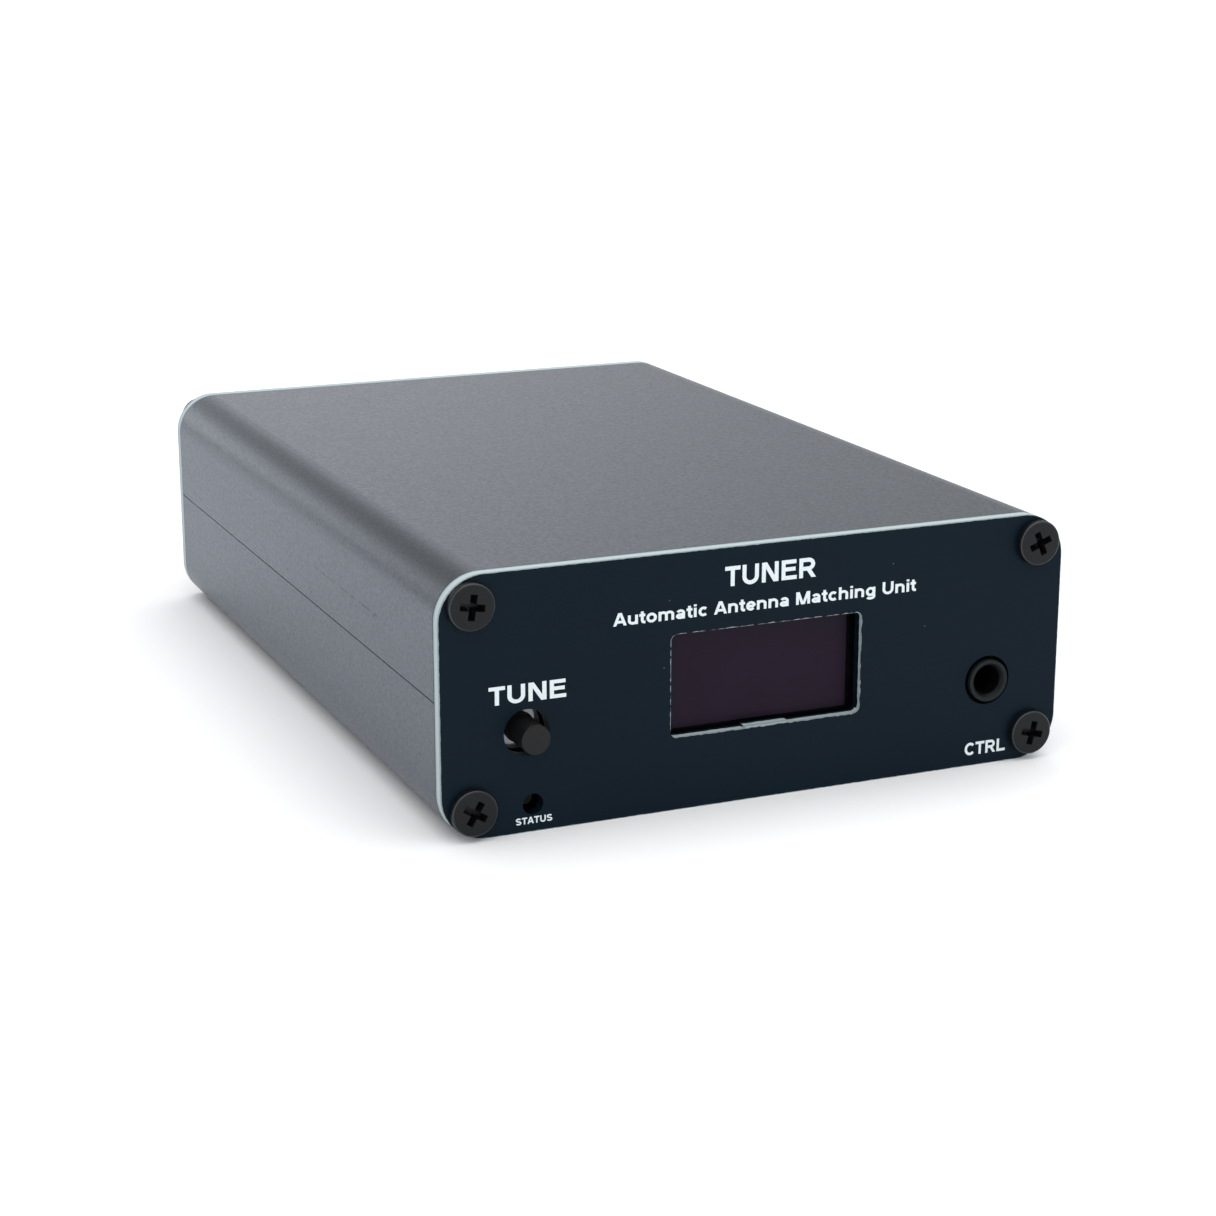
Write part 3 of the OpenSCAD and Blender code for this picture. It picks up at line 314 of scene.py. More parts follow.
def solder_masked_laminate(panel, colours, sizes, has_window=False):
    """Fibreglass board under a blue-black solder mask, routed to shape: a smooth satin face, and bare pale
    laminate on its routed edges, palest at mid thickness, and along a thin ragged rim. Towards both faces
    the edges darken, partly where the mask laps over them and partly as painted shade of the gap beside the
    panel;
    deep in the window the walls are painted dark as painted shade."""
    mask = tuple(colours.mask)
    bare = tuple(colours.laminate)
    raw_rim = sizes.raw_rim
    material, add, shader = start_material(f"solder_masked_laminate_{panel}", Specular_IOR_Level=0.08)
    facing = add("SeparateXYZ", add("TexCoord").outputs["Normal"])
    deep = add("SeparateXYZ", place_in_frame(add)).outputs["Y"]
    side = add("Math", add("Math", facing.outputs["Y"], operation="ABSOLUTE"), 0.5, operation="LESS_THAN")
    rag = add("MapRange", mottle(add, 0.7, detail=4.0), 0.3, 0.7, -1.2 * raw_rim, 1.2 * raw_rim)
    outer = off_outline(add, CASE_W / 2, CASE_H / 2, CORNER_R, 0, CASE_H / 2)
    ragged = add("Math", outer, add("Math", rag, 0.4, operation="MULTIPLY"), operation="ADD")
    rim = add("Math", ragged, -raw_rim, operation="GREATER_THAN")
    edge = add("Math", outer, -NEAR_OUTLINE, operation="GREATER_THAN")
    if has_window:
        window_rim, window_walls = raw_window(add, raw_rim, rag, deep, facing.outputs["Z"])
        rim = add("Math", rim, window_rim, operation="MAXIMUM")
        edge = add("Math", edge, window_walls, operation="MAXIMUM")
    on_face = add("Math", rim, add("Math", 1.0, side, operation="SUBTRACT"), operation="MULTIPLY")
    raw = add("Math", add("Math", side, edge, operation="MULTIPLY"), on_face, operation="MAXIMUM")

    low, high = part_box(panel)
    thick = high.y - low.y
    # Partly painted shade: the bare edge is lightened at mid thickness, so it darkens towards both faces,
    # partly for the mask's overlap and partly as shade of the gap beside the panel
    core = add("MapRange", distance(add, deep, middle(panel).y), 0.2 * thick, 0.46 * thick, 1, 0)
    core = add("Math", core, side, operation="MULTIPLY")
    fibre = mottle(add, 0.22, detail=3.0, stretch=(1, 6, 1))
    laminate = add("Mix", fibre, shade(bare, 0.55), bare, data_type="RGBA")
    laminate = add("Mix", core, laminate, shade(bare, 1.35), data_type="RGBA")
    face = add("Mix", mottle(add, 30.0), shade(mask, 0.9), shade(mask, 1.15), data_type="RGBA")
    specks = add("TexVoronoi", place_in_frame(add), 1 / (4 * MM))
    speck = add("Math", specks, 0.022, operation="LESS_THAN")
    speck = add("Math", speck, 0.5, operation="MULTIPLY")
    face = add("Mix", speck, face, shade(bare, 0.5), data_type="RGBA")
    tone = add("Mix", raw, face, laminate, data_type="RGBA")
    fill(shader, Base_Color=tone, Roughness=add("MapRange", raw, 0, 1, 0.38, 0.7))
    peel = add("Math", mottle(add, 0.6, detail=1.0), 0.4, operation="MULTIPLY")
    fuzz = add("Math", fibre, raw, operation="MULTIPLY")
    rough_surface(add, shader, add("Math", peel, fuzz, operation="ADD"), 0.003)
    return material


def printed_ink(colours):
    """Screen-printed white epoxy ink: matt, slightly uneven where the mesh laid it thin."""
    ink = tuple(colours.ink)
    material, add, shader = start_material("screen_printed_ink", Roughness=0.6, Specular_IOR_Level=0.3)
    fill(shader, Base_Color=add("Mix", mottle(add, 0.25), shade(ink, 0.86), ink, data_type="RGBA"))
    return material


def black_oxide_steel(colours):
    """Cold-forged steel with a black oxide finish: charcoal with a low oily sheen, and a painted highlight
    on the rounded rim of each head.
    """
    base = tuple(colours.screw)
    material, add, shader = start_material("black_oxide_steel", Metallic=0.4, Specular_IOR_Level=0.3)
    worn = mottle(add, 0.35, detail=3.0)
    tone = add("Mix", worn, shade(base, 0.7), shade(base, 1.4), data_type="RGBA")
    # Painted highlight: where the surface slopes like a head's rounded rim, the charcoal is lightened
    # eightfold
    facing = add("SeparateXYZ", add("TexCoord").outputs["Normal"])
    endways = add("Math", facing.outputs["Y"], operation="ABSOLUTE")
    painted_rim_highlight = add("MapRange", distance(add, endways, 0.7), 0.05, 0.25, 0.8, 0)
    tone = add("Mix", painted_rim_highlight, tone, shade(base, 8), data_type="RGBA")
    fill(shader, Base_Color=tone, Roughness=add("MapRange", worn, 0.3, 0.7, 0.32, 0.48))
    rough_surface(add, shader, worn, 0.006)
    return material


def finish(name, rgba, roughness, grain_mm, depth_mm, edge=0.0, stretch=(1, 1, 1), light=None, **constants):
    """A finish whose grain shows as a slight change of tone, sheen and height. A real grain under 0.15 mm is
    too fine to show, and is drawn coarser."""
    material, add, shader = start_material(name, **constants)
    grain = mottle(add, grain_mm, stretch=stretch)
    tone = add("Mix", grain, shade(rgba, 0.85), light or shade(rgba, 1.15), data_type="RGBA")
    sheen = add("MapRange", grain, 0.3, 0.7, 0.8 * roughness, 1.2 * roughness)
    fill(shader, Base_Color=tone, Roughness=sheen)
    rough_surface(add, shader, grain, depth_mm, edge)
    return material


def nylon_with_painted_nose_highlight(name, jack):
    """Moulded nylon round a jack's mouth: deep black, with a ring on its nose painted dull grey as a
    highlight.
    """
    low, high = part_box(jack)
    material, add, shader = start_material(name, Specular_IOR_Level=0.12, Roughness=0.4)
    radius, deep = off_axis(add, (middle(jack).x, 0, high.z - JACK_DROP))
    # Painted highlight: a thin ring on the front of the nose, between its inner and outer radius, is painted
    # dull grey
    nose = add("Math", deep, low.y + NOSE_DEPTH, operation="LESS_THAN")
    painted_rim_highlight = add("MapRange", radius, NOSE_INNER_R, NOSE_OUTER_R, 0, 1)
    painted_rim_highlight = add("Math", painted_rim_highlight, nose, operation="MULTIPLY")
    grain = mottle(add, 0.25)
    tone = add("Mix", grain, linear("#060708"), linear("#0c0e0f"), data_type="RGBA")
    fill(shader, Base_Color=add("Mix", painted_rim_highlight, tone, linear("#191e1e"), data_type="RGBA"))
    rough_surface(add, shader, grain, 0.004)
    return material


def wound_toroid(name, coil):
    """Enamelled copper wire wound on a painted iron-powder ring: glossy orange turns over a matt red core,
    told apart by how far a point is from the ring's centre line."""
    low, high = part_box(coil)
    loop_r = (high.y - low.y) / 2
    ring_r = (high.z - low.z) / 2 - loop_r
    material, add, shader = start_material(name)
    radius, along = off_axis(add, tuple(middle(coil)))
    across = add("CombineXYZ", add("Math", radius, ring_r, operation="SUBTRACT"), along)
    reach = add("VectorMath", across, operation="LENGTH")
    wire = add("Math", reach, loop_r - WIRE_DEPTH, operation="GREATER_THAN")
    copper = add("Mix", mottle(add, 0.6), linear("#a8501e"), linear("#c9702c"), data_type="RGBA")
    grain = mottle(add, 0.4, detail=3.0)
    core = add("Mix", grain, linear("#7f1f1a"), linear("#a62c22"), data_type="RGBA")
    fill(shader, Base_Color=add("Mix", wire, core, copper, data_type="RGBA"))
    fill(shader, Roughness=add("MapRange", wire, 0, 1, 0.6, 0.25))
    fill(shader, Metallic=add("Math", wire, 0.8, operation="MULTIPLY"))
    rough_surface(add, shader, grain, 0.004)
    return material


# ---- meshes ----


def smooth(mesh):
    """Smooth faces, but for the sharp edges between them."""
    mesh.shade_smooth()
    mesh.set_sharp_from_angle(angle=math.radians(35))


def give_mesh(bm, name):
    """The finished mesh of a bmesh."""
    bmesh.ops.recalc_face_normals(bm, faces=bm.faces)
    mesh = bpy.data.meshes.new(name)
    bm.to_mesh(mesh)
    bm.free()
    smooth(mesh)
    return mesh


def combine(first, second, operation):
    """The mesh that is left when one closed mesh is cut out of another or joined to it."""
    objects = [bpy.data.objects.new(m.name, m) for m in (first, second)]
    for item in objects:
        bpy.context.scene.collection.objects.link(item)
    modifier = objects[0].modifiers.new("combine", "BOOLEAN")
    modifier.operation = operation
    modifier.solver = "EXACT"
    modifier.use_self = True
    modifier.object = objects[1]
    view = bpy.context.evaluated_depsgraph_get()
    result = bpy.data.meshes.new_from_object(objects[0].evaluated_get(view))
    for item in objects:
        bpy.data.objects.remove(item)
    smooth(result)
    return result


def add_piece(name, mesh, material, body, slot, *replaced):
    """Adds a piece that rides on a body, takes the material it is given, and may stand for CAD nodes. Its
    slot is not used.
    """
    piece = bpy.data.objects.new(name, mesh)
    bpy.context.scene.collection.objects.link(piece)
    mesh.materials.clear()
    mesh.materials.append(material)
    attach(piece, body)
    if replaced:
        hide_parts(*replaced)
    return piece


def finish_nodes(material, *names):
    """Gives CAD nodes a material."""
    for name in names:
        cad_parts[name].material_slots[0].material = material


def of_slot(slot):
    """The CAD nodes whose finish is a slot's."""
    return [name for name, named in SLOTS.items() if named == slot]


def round_angles(steps):
    """Evenly spaced angles round a circle."""
    return [2 * math.pi * i / steps for i in range(steps)]


def add_ring(bm, x, y, z, radii):
    """Adds a ring of points round the line along Y through x and z, each at its own radius."""
    ring = []
    for angle, radius in zip(round_angles(len(radii)), radii):
        ring.append(bm.verts.new((x + radius * math.cos(angle), y, z + radius * math.sin(angle))))
    return ring


def skin(bm, rings):
    """Adds faces from each ring of points to the next. A ring may be a single point."""
    for near, far in zip(rings, rings[1:]):
        steps = max(len(near), len(far))
        for i in range(steps):
            j = (i + 1) % steps
            corners = [near[i % len(near)], near[j % len(near)], far[j % len(far)], far[i % len(far)]]
            bm.faces.new(list(dict.fromkeys(corners)))


def turned(profile, x, z, steps=96):
    """A shape turned about the line along Y through x and z, from points of radius and y. A radius of 0
    ends on the line."""
    bm = bmesh.new()
    skin(bm, [add_ring(bm, x, y, z, [radius] * steps if radius else [0]) for radius, y in profile])
    return bm


def round_over(radius, y, rounding, steps=6):
    """Points of a quarter-round from an end face at y to a side at radius."""
    angles = [math.pi / 2 * i / steps for i in range(steps + 1)]
    return [(radius - rounding * (1 - math.sin(a)), y + rounding * (1 - math.cos(a))) for a in angles]


def tapered_cross(reach, arm, top_y, foot_y, taper):
    """A cross of four arms along Y, whose foot is narrower than its top."""
    corners = [(arm, arm), (arm, reach), (-arm, reach), (-arm, arm), (-reach, arm), (-reach, -arm)]
    corners += [(-x, -z) for x, z in corners]
    bm = bmesh.new()
    rings = []
    for y, less in ((top_y, 0), (foot_y, taper)):
        drawn_in = [(x - math.copysign(less, x), z - math.copysign(less, z)) for x, z in corners]
        rings.append([bm.verts.new((x, y, z)) for x, z in drawn_in])
    bm.faces.new(rings[0])
    bm.faces.new(rings[1][::-1])
    skin(bm, rings)
    return bm


def thread(radius, depth, pitch, near_y, far_y, x, z, steps=48, rows_a_turn=12):
    """A rod along Y with a rounded helical thread, from near_y to a chamfered end at far_y."""
    angles = round_angles(steps)
    rows = int((far_y - near_y) / (pitch / rows_a_turn)) + 1
    bm = bmesh.new()
    rings = []
    for row in range(rows + 1):
        y = near_y + (far_y - near_y) * row / rows
        phase = 2 * math.pi * (y - near_y) / pitch
        fade = min(1.0, (far_y - y) / pitch)
        cuts = [1 - fade + fade * (0.5 + 0.5 * math.cos(phase - angle)) for angle in angles]
        rings.append(add_ring(bm, x, y, z, [radius - depth * cut for cut in cuts]))
    skin(bm, rings)
    bm.faces.new(rings[0][::-1])
    bm.faces.new(rings[-1])
    return bm


# ---- pieces ----


class TUNER_OT_case(bpy.types.Operator):
    """Gives both shells their blasted and anodised finish"""

    bl_idname = "tuner.case"
    bl_label = "Case"

    def execute(self, context):
        colours = context.scene.tuner_colours
        sizes = context.scene.tuner_sizes
        finish_nodes(blasted_anodised_aluminium(colours, sizes), "top_shell", "bottom_shell")
        return {"FINISHED"}


class TUNER_OT_panels(bpy.types.Operator):
    """Gives the end panels their solder mask and their bare routed edges"""

    bl_idname = "tuner.panels"
    bl_label = "End panels"

    def execute(self, context):
        colours = context.scene.tuner_colours
        sizes = context.scene.tuner_sizes
        finish_nodes(solder_masked_laminate("front_panel", colours, sizes, has_window=True), "front_panel")
        finish_nodes(solder_masked_laminate("rear_panel", colours, sizes), "rear_panel")
        return {"FINISHED"}


class TUNER_OT_screws(bpy.types.Operator):
    """Makes the eight cross-recess screws with their rounded heads"""

    bl_idname = "tuner.screws"
    bl_label = "Panel screws"

    # The degrees by which each screw of a panel came to rest
    turns = (8, -22, 31, 14)
    head_r = 2.75 * MM
    shank_r = 1.5 * MM
    shank_l = 8 * MM
    rounding_share = 0.3
    crown_share = 0.06

    def screw(self, sizes, head_h):
        """One screw with the seat of its head at y = 0 and its top towards -Y."""
        rounding = self.rounding_share * head_h
        crown = self.crown_share * head_h
        flat_r = self.head_r - rounding
        profile = [(flat_r * i / 6, -head_h + crown * (i / 6) ** 2) for i in range(6)]
        profile += round_over(self.head_r, -head_h + crown, rounding, steps=8)
        profile += [(self.head_r, 0), (self.shank_r, 0), (self.shank_r, self.shank_l), (0, self.shank_l)]
        body = give_mesh(turned(profile, 0, 0, steps=72), "screw")
        reach = sizes.recess_width / 2
        arm = sizes.recess_arm / 2
        above = -head_h - 0.1 * MM
        recess = tapered_cross(reach, arm, above, -head_h + sizes.recess_depth, 0.4 * arm)
        return combine(body, give_mesh(recess, "recess"), "DIFFERENCE")

    def execute(self, context):
        material = black_oxide_steel(context.scene.tuner_colours)
        low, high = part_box("panel_screws")
        screw = self.screw(context.scene.tuner_sizes, FRONT_Y - low.y)
        heights = (high.z - self.head_r, low.z + self.head_r)
        places = [(x, z) for z in heights for x in (low.x + self.head_r, high.x - self.head_r)]
        for i, ((x, z), turn) in enumerate(zip(places, self.turns)):
            for end, y, half_turns in (("front", FRONT_Y, 0), ("rear", REAR_Y, 1)):
                mesh = screw.copy()
                spin = Matrix.Rotation(math.radians(-turn if half_turns else turn), 4, "Y")
                face = Matrix.Rotation(math.pi * half_turns, 4, "Z")
                mesh.transform(Matrix.Translation((x, y, z)) @ face @ spin)
                smooth(mesh)
                replaced = ["panel_screws"] if i == 0 and not half_turns else []
                add_piece(f"{end}_screw_{i + 1}", mesh, material, "case", "black_screw", *replaced)
        return {"FINISHED"}


def stem(x, top=1, foot=0):
    """An upright stroke."""
    return [(x, foot), (x, top)]


def bar(start, end, z):
    """A level stroke."""
    return [(start, z), (end, z)]


def arc(x, z, across, up, start, end, steps=12):
    """Points along part of an ellipse, from one angle to another."""
    angles = [math.radians(start + (end - start) * i / steps) for i in range(steps + 1)]
    return [(x + across * math.cos(a), z + up * math.sin(a)) for a in angles]


# The middle lines of a bold upright sans-serif's strokes, with each letter's advance first. Capitals are 1
# high, and a small letter 0.73.
STROKE = 0.2
SPACE = 0.4
SAME_POINT = 0.001
SHARPEST_BEND = 0.7
LOWER_N = [(0.68, 0), (0.68, 0.44), *arc(0.425, 0.44, 0.255, 0.2, 5, 175), (0.17, 0.44)]
LETTERS = {
    "A": (0.98, [(0.12, 0), (0.47, 1)], [(0.86, 0), (0.51, 1)], bar(0.22, 0.76, 0.3)),
    "C": (0.98, arc(0.53, 0.5, 0.37, 0.405, 42, 318)),
    "D": (
        1.0,
        stem(0.18),
        [*bar(0.18, 0.46, 0.9), *arc(0.46, 0.5, 0.36, 0.4, 85, -85), *bar(0.46, 0.18, 0.1)],
    ),
    "E": (0.92, stem(0.18), bar(0.18, 0.84, 0.9), bar(0.18, 0.8, 0.53), bar(0.18, 0.87, 0.1)),
    "G": (1.08, arc(0.54, 0.5, 0.38, 0.405, 42, 325), bar(0.55, 1.0, 0.43), stem(0.9, 0.12, 0.43)),
    "H": (1.02, stem(0.18), stem(0.84), bar(0.18, 0.84, 0.53)),
    "I": (0.36, stem(0.18)),
    "L": (0.86, stem(0.18), bar(0.18, 0.82, 0.1)),
    "M": (1.18, stem(0.17), stem(1.01), [(0.22, 1), (0.56, 0)], [(0.96, 1), (0.62, 0)]),
    "N": (1.02, stem(0.18), stem(0.84), [(0.22, 1), (0.8, 0)]),
    "O": (1.08, arc(0.54, 0.5, 0.4, 0.41, 0, 360, 32)),
    "R": (
        1.0,
        stem(0.18),
        [*bar(0.18, 0.56, 0.9), *arc(0.56, 0.68, 0.24, 0.22, 85, -85), *bar(0.56, 0.18, 0.46)],
        [(0.54, 0.46), (0.84, 0)],
    ),
    "S": (0.93, [*arc(0.46, 0.72, 0.3, 0.19, 22, 235), *arc(0.47, 0.28, 0.32, 0.19, 55, -158)]),
    "T": (0.84, bar(0.03, 0.81, 0.9), stem(0.42, 0.9)),
    "U": (1.0, [(0.18, 1), (0.18, 0.4), *arc(0.5, 0.4, 0.32, 0.31, 185, 355), (0.82, 0.4), (0.82, 1)]),
    "a": (
        0.8,
        [(0.61, 0), (0.61, 0.44), *arc(0.39, 0.45, 0.22, 0.185, 5, 155)],
        arc(0.36, 0.21, 0.2, 0.12, 0, 360, 20),
        bar(0.36, 0.61, 0.33),
    ),
    "c": (0.77, arc(0.42, 0.365, 0.26, 0.28, 45, 315)),
    "e": (0.78, bar(0.18, 0.66, 0.35), [(0.66, 0.35), *arc(0.41, 0.365, 0.25, 0.28, 5, 318)]),
    "g": (
        0.86,
        arc(0.41, 0.37, 0.25, 0.27, 0, 360, 24),
        [*stem(0.68, 0.0, 0.73), *arc(0.42, -0.02, 0.26, 0.15, -5, -155)],
    ),
    "h": (0.86, stem(0.17), LOWER_N),
    "i": (0.36, stem(0.18, 0.73), stem(0.18, 1, 0.84)),
    "m": (
        1.26,
        stem(0.17, 0.73),
        [*stem(0.63, 0.46), *arc(0.4, 0.46, 0.23, 0.18, 5, 175), (0.17, 0.46)],
        [*stem(1.09, 0.46), *arc(0.86, 0.46, 0.23, 0.18, 5, 175), (0.63, 0.46)],
    ),
    "n": (0.86, stem(0.17, 0.73), LOWER_N),
    "o": (0.85, arc(0.425, 0.365, 0.27, 0.28, 0, 360, 28)),
    "t": (
        0.47,
        [(0.23, 0.93), (0.23, 0.24), *arc(0.36, 0.24, 0.13, 0.15, 185, 270), (0.45, 0.09)],
        bar(0.02, 0.44, 0.64),
    ),
    "u": (
        0.86,
        stem(0.68, 0.73),
        [(0.17, 0.73), (0.17, 0.29), *arc(0.425, 0.29, 0.255, 0.2, 185, 355), (0.68, 0.29)],
    ),
}


def stroke_sides(points):
    """The points down both sides of a stroke. A slanting stroke of two points has level ends."""
    half = STROKE / 2
    line = [Vector(p) for p in points]
    closed = (line[0] - line[-1]).length < SAME_POINT
    if len(line) == 2:
        run = line[1] - line[0]
        if run.x and run.y:
            off = Vector((half * run.length / abs(run.y), 0))
        else:
            off = Vector((-run.y, run.x)).normalized() * half
        return [[p + off for p in line], [p - off for p in line]]
    sides = [[], []]
    for i, point in enumerate(line):
        before = line[i - 1] if i else line[-2] if closed else point
        after = line[i + 1] if i + 1 < len(line) else line[1] if closed else point
        come = (point - before).normalized() if point != before else (after - point).normalized()
        go = (after - point).normalized() if after != point else come
        along = (come + go).normalized()
        off = Vector((-along.y, along.x)) * half / max(SHARPEST_BEND, along.dot(come))
        sides[0].append(point + off)
        sides[1].append(point - off)
    return sides


def add_stroke(bm, points, start, depth):
    """Adds one stroke of a letter as a closed bar from y = -depth to 0."""
    left, right = stroke_sides(points)
    rings = []
    for a, b in zip(left, right):
        corners = [(a, -depth), (b, -depth), (b, 0), (a, 0)]
        rings.append([bm.verts.new((start + p.x, y, p.y)) for p, y in corners])
    if (left[0] - left[-1]).length < SAME_POINT:
        bmesh.ops.delete(bm, geom=rings.pop(), context="VERTS")
        rings.append(rings[0])
    else:
        bm.faces.new(rings[0])
        bm.faces.new(rings[-1][::-1])
    skin(bm, rings)


class TUNER_OT_lettering(bpy.types.Operator):
    """Prints the plain function words on both panels"""

    bl_idname = "tuner.lettering"
    bl_label = "Lettering"

    def lettered(self, words, height, width, thickness):
        """The mesh of words in X and Z, centred on X with their foot at z = 0, facing -Y."""
        layers = [bmesh.new(), bmesh.new()]
        start = 0
        for letter in words:
            advance, *strokes = LETTERS.get(letter, (SPACE,))
            for i, points in enumerate(strokes):
                add_stroke(layers[min(i, 1)], points, start, thickness)
            start += advance
        mesh = combine(*[give_mesh(bm, "words") for bm in layers], "UNION")
        xs = [v.co.x for v in mesh.vertices]
        across = width / (max(xs) - min(xs))
        mesh.transform(Matrix.Translation((-(max(xs) + min(xs)) / 2, 0, 0)))
        mesh.transform(Matrix.Diagonal((across, 1, height, 1)))
        return mesh

    def execute(self, context):
        sizes = context.scene.tuner_sizes
        material = printed_ink(context.scene.tuner_colours)
        second_line = "Automatic Antenna Matching Unit"
        antenna_x = middle("antenna_socket_shell").x
        radio_x = middle("radio_socket_shell").x
        charge_x = middle("charge_socket_shell").x
        # Name, words, height, width, middle and foot of each print
        front = (
            ("title", "TUNER", sizes.title_height, sizes.title_width, 0.6 * MM, sizes.title_rise),
            ("second_line", second_line, sizes.line_height, sizes.line_width, 0.35 * MM, sizes.line_rise),
            ("tune_label", "TUNE", 2.15 * MM, 9.3 * MM, -29.55 * MM, 15.5 * MM),
            ("status_label", "STATUS", 0.8 * MM, 4.45 * MM, -28.9 * MM, 1.0 * MM),
            ("control_label", "CTRL", 1.6 * MM, 5.7 * MM, 30.3 * MM, 1.35 * MM),
        )
        rear = (
            ("antenna_label", "ANTENNA", 1.8 * MM, 11 * MM, antenna_x, 24.6 * MM),
            ("radio_label", "RADIO", 1.8 * MM, 7.5 * MM, radio_x, 24.6 * MM),
            ("ground_label", "GROUND", 1.5 * MM, 7.6 * MM, middle("ground_stud").x, 27 * MM),
            ("charge_label", "CHARGE", 1.5 * MM, 7.2 * MM, charge_x, 13.6 * MM),
        )
        for prints, y, half_turns in ((front, FRONT_Y, 0), (rear, REAR_Y, 1)):
            face = Matrix.Rotation(math.pi * half_turns, 4, "Z")
            for name, words, height, width, x, z in prints:
                mesh = self.lettered(words, height, width, sizes.ink)
                mesh.transform(Matrix.Translation((x, y, z)) @ face)
                add_piece(name, mesh, material, "case", "panel_board")
        return {"FINISHED"}


class TUNER_OT_button(bpy.types.Operator):
    """Makes the tune button with its rounded end, and the snap dome behind it"""

    bl_idname = "tuner.button"
    bl_label = "Tune switch"

    radius = 1.75 * MM
    nub_r = 0.8 * MM
    collar_l = 0.7 * MM
    rounding = 0.2 * MM
    collar_gap = 0.05 * MM
    dome_t = 0.12 * MM

    def execute(self, context):
        rgba = tuple(context.scene.tuner_colours.button)
        low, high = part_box("tune_button")
        centre = middle("tune_button")
        collar_r = (high.x - low.x) / 2
        collar_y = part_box("tune_switch_base")[0].y + self.collar_gap
        collar_end = collar_y + self.collar_l
        profile = [(0, low.y)] + round_over(self.radius, low.y, self.rounding)
        profile += [(self.radius, collar_y), (collar_r, collar_y), (collar_r, collar_end)]
        profile += [(self.nub_r, collar_end), (self.nub_r, high.y), (0, high.y)]
        mesh = give_mesh(turned(profile, centre.x, centre.z), "plunger")
        # Moulded nylon: smooth and glossy down the sides, where the tool drew
        material = finish("moulded_nylon_button", rgba, 0.4, 0.3, 0.008, Specular_IOR_Level=0.25)
        add_piece("tune_plunger", mesh, material, "button", "black_plastic", "tune_button")
        self.add_dome()
        return {"FINISHED"}

    def add_dome(self):
        """The snap dome of thin spring steel, made in its rest shape; the real dome flattens as the button
        goes in.
        """
        low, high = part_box("tune_switch_dome")
        centre = middle("tune_switch_dome")
        rise = high.y - low.y
        half = (high.x - low.x) / 2
        outer = [(half * i / 12, low.y + rise * (i / 12) ** 2) for i in range(13)]
        inner = [(r, y + self.dome_t * (1 - (r / half) ** 2)) for r, y in outer[-2::-1]]
        mesh = give_mesh(turned(outer + inner, centre.x, centre.z), "dome")
        # Stamped stainless steel, bright and springy
        steel = finish("stamped_spring_steel", linear("#c2c4c5"), 0.15, 0.4, 0.002, Metallic=1.0)
        dome = add_piece("snap_dome", mesh, steel, "case", "spring_metal", "tune_switch_dome")
        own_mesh(dome)


class TUNER_OT_display(bpy.types.Operator):
    """Finishes the display's film and glass"""

    bl_idname = "tuner.display"
    bl_label = "Display"

    def execute(self, context):
        # Laminated polariser over an unlit display: a deep purple-brown film, all but matt
        rgba = tuple(context.scene.tuner_colours.film)
        film = finish("laminated_polariser", rgba, 0.35, 5.0, 0.0005, Specular_IOR_Level=0.1)
        finish_nodes(film, "display_film")
        # Float glass over a black mask: flat, black and mildly glossy
        black = linear("#050608")
        glass = finish("black_backed_float_glass", black, 0.15, 5.0, 0.0005, Specular_IOR_Level=0.2)
        finish_nodes(glass, "display_glass")
        return {"FINISHED"}


class TUNER_OT_plastics(bpy.types.Operator):
    """Finishes the moulded, fired and sintered parts"""

    bl_idname = "tuner.plastics"
    bl_label = "Plastic and ceramic parts"

    def execute(self, context):
        # Moulded glass-filled nylon: black, with the faint mottle of its filler
        nylon = finish("moulded_nylon", linear("#101214"), 0.35, 0.25, 0.004, Specular_IOR_Level=0.2)
        finish_nodes(nylon, *of_slot("black_plastic"))
        finish_nodes(nylon_with_painted_nose_highlight("moulded_nylon_painted_nose_highlight", "control_jack_body"), "control_jack_body")
        # Cast epoxy, smoked grey: a small clear-looking lens
        lens = finish("cast_epoxy_lens", linear("#2c302e"), 0.12, 1.0, 0.001, IOR=1.55)
        finish_nodes(lens, "status_light")
        # Turned white fluoroplastic: waxy, with fine tool rings
        white = linear("#e9e7e0")
        rings = (0.1, 1, 0.1)
        white = finish("turned_fluoroplastic", white, 0.35, 0.3, 0.004, stretch=rings, Subsurface_Weight=0.1)
        finish_nodes(white, *of_slot("white_insulator"))
        # Shrunk film round the cell: glossy, with lengthwise draw marks
        wrap = finish("shrunk_film_wrap", linear("#2f6796"), 0.22, 1.2, 0.01, stretch=(1, 0.1, 1))
        finish_nodes(wrap, "battery_cell")
        # Slot, name, colour, roughness, grain and its depth
        plain = (
            # A matt sandy black
            ("chip_resin", "moulded_epoxy", "#1a1b1c", 0.6, 0.15, 0.008),
            # A hard charcoal with open pores
            ("ferrite", "sintered_ferrite", "#2e2d2d", 0.5, 0.2, 0.015),
            # Tan, fine and even
            ("chip_ceramic", "fired_ceramic", "#b08a5c", 0.4, 0.3, 0.004),
            # Off-white, satin
            ("relay_case", "moulded_polyester", "#d9d8d2", 0.38, 0.4, 0.004),
        )
        for slot, name, hex_colour, roughness, grain_mm, depth_mm in plain:
            finish_nodes(finish(name, linear(hex_colour), roughness, grain_mm, depth_mm), *of_slot(slot))
        return {"FINISHED"}


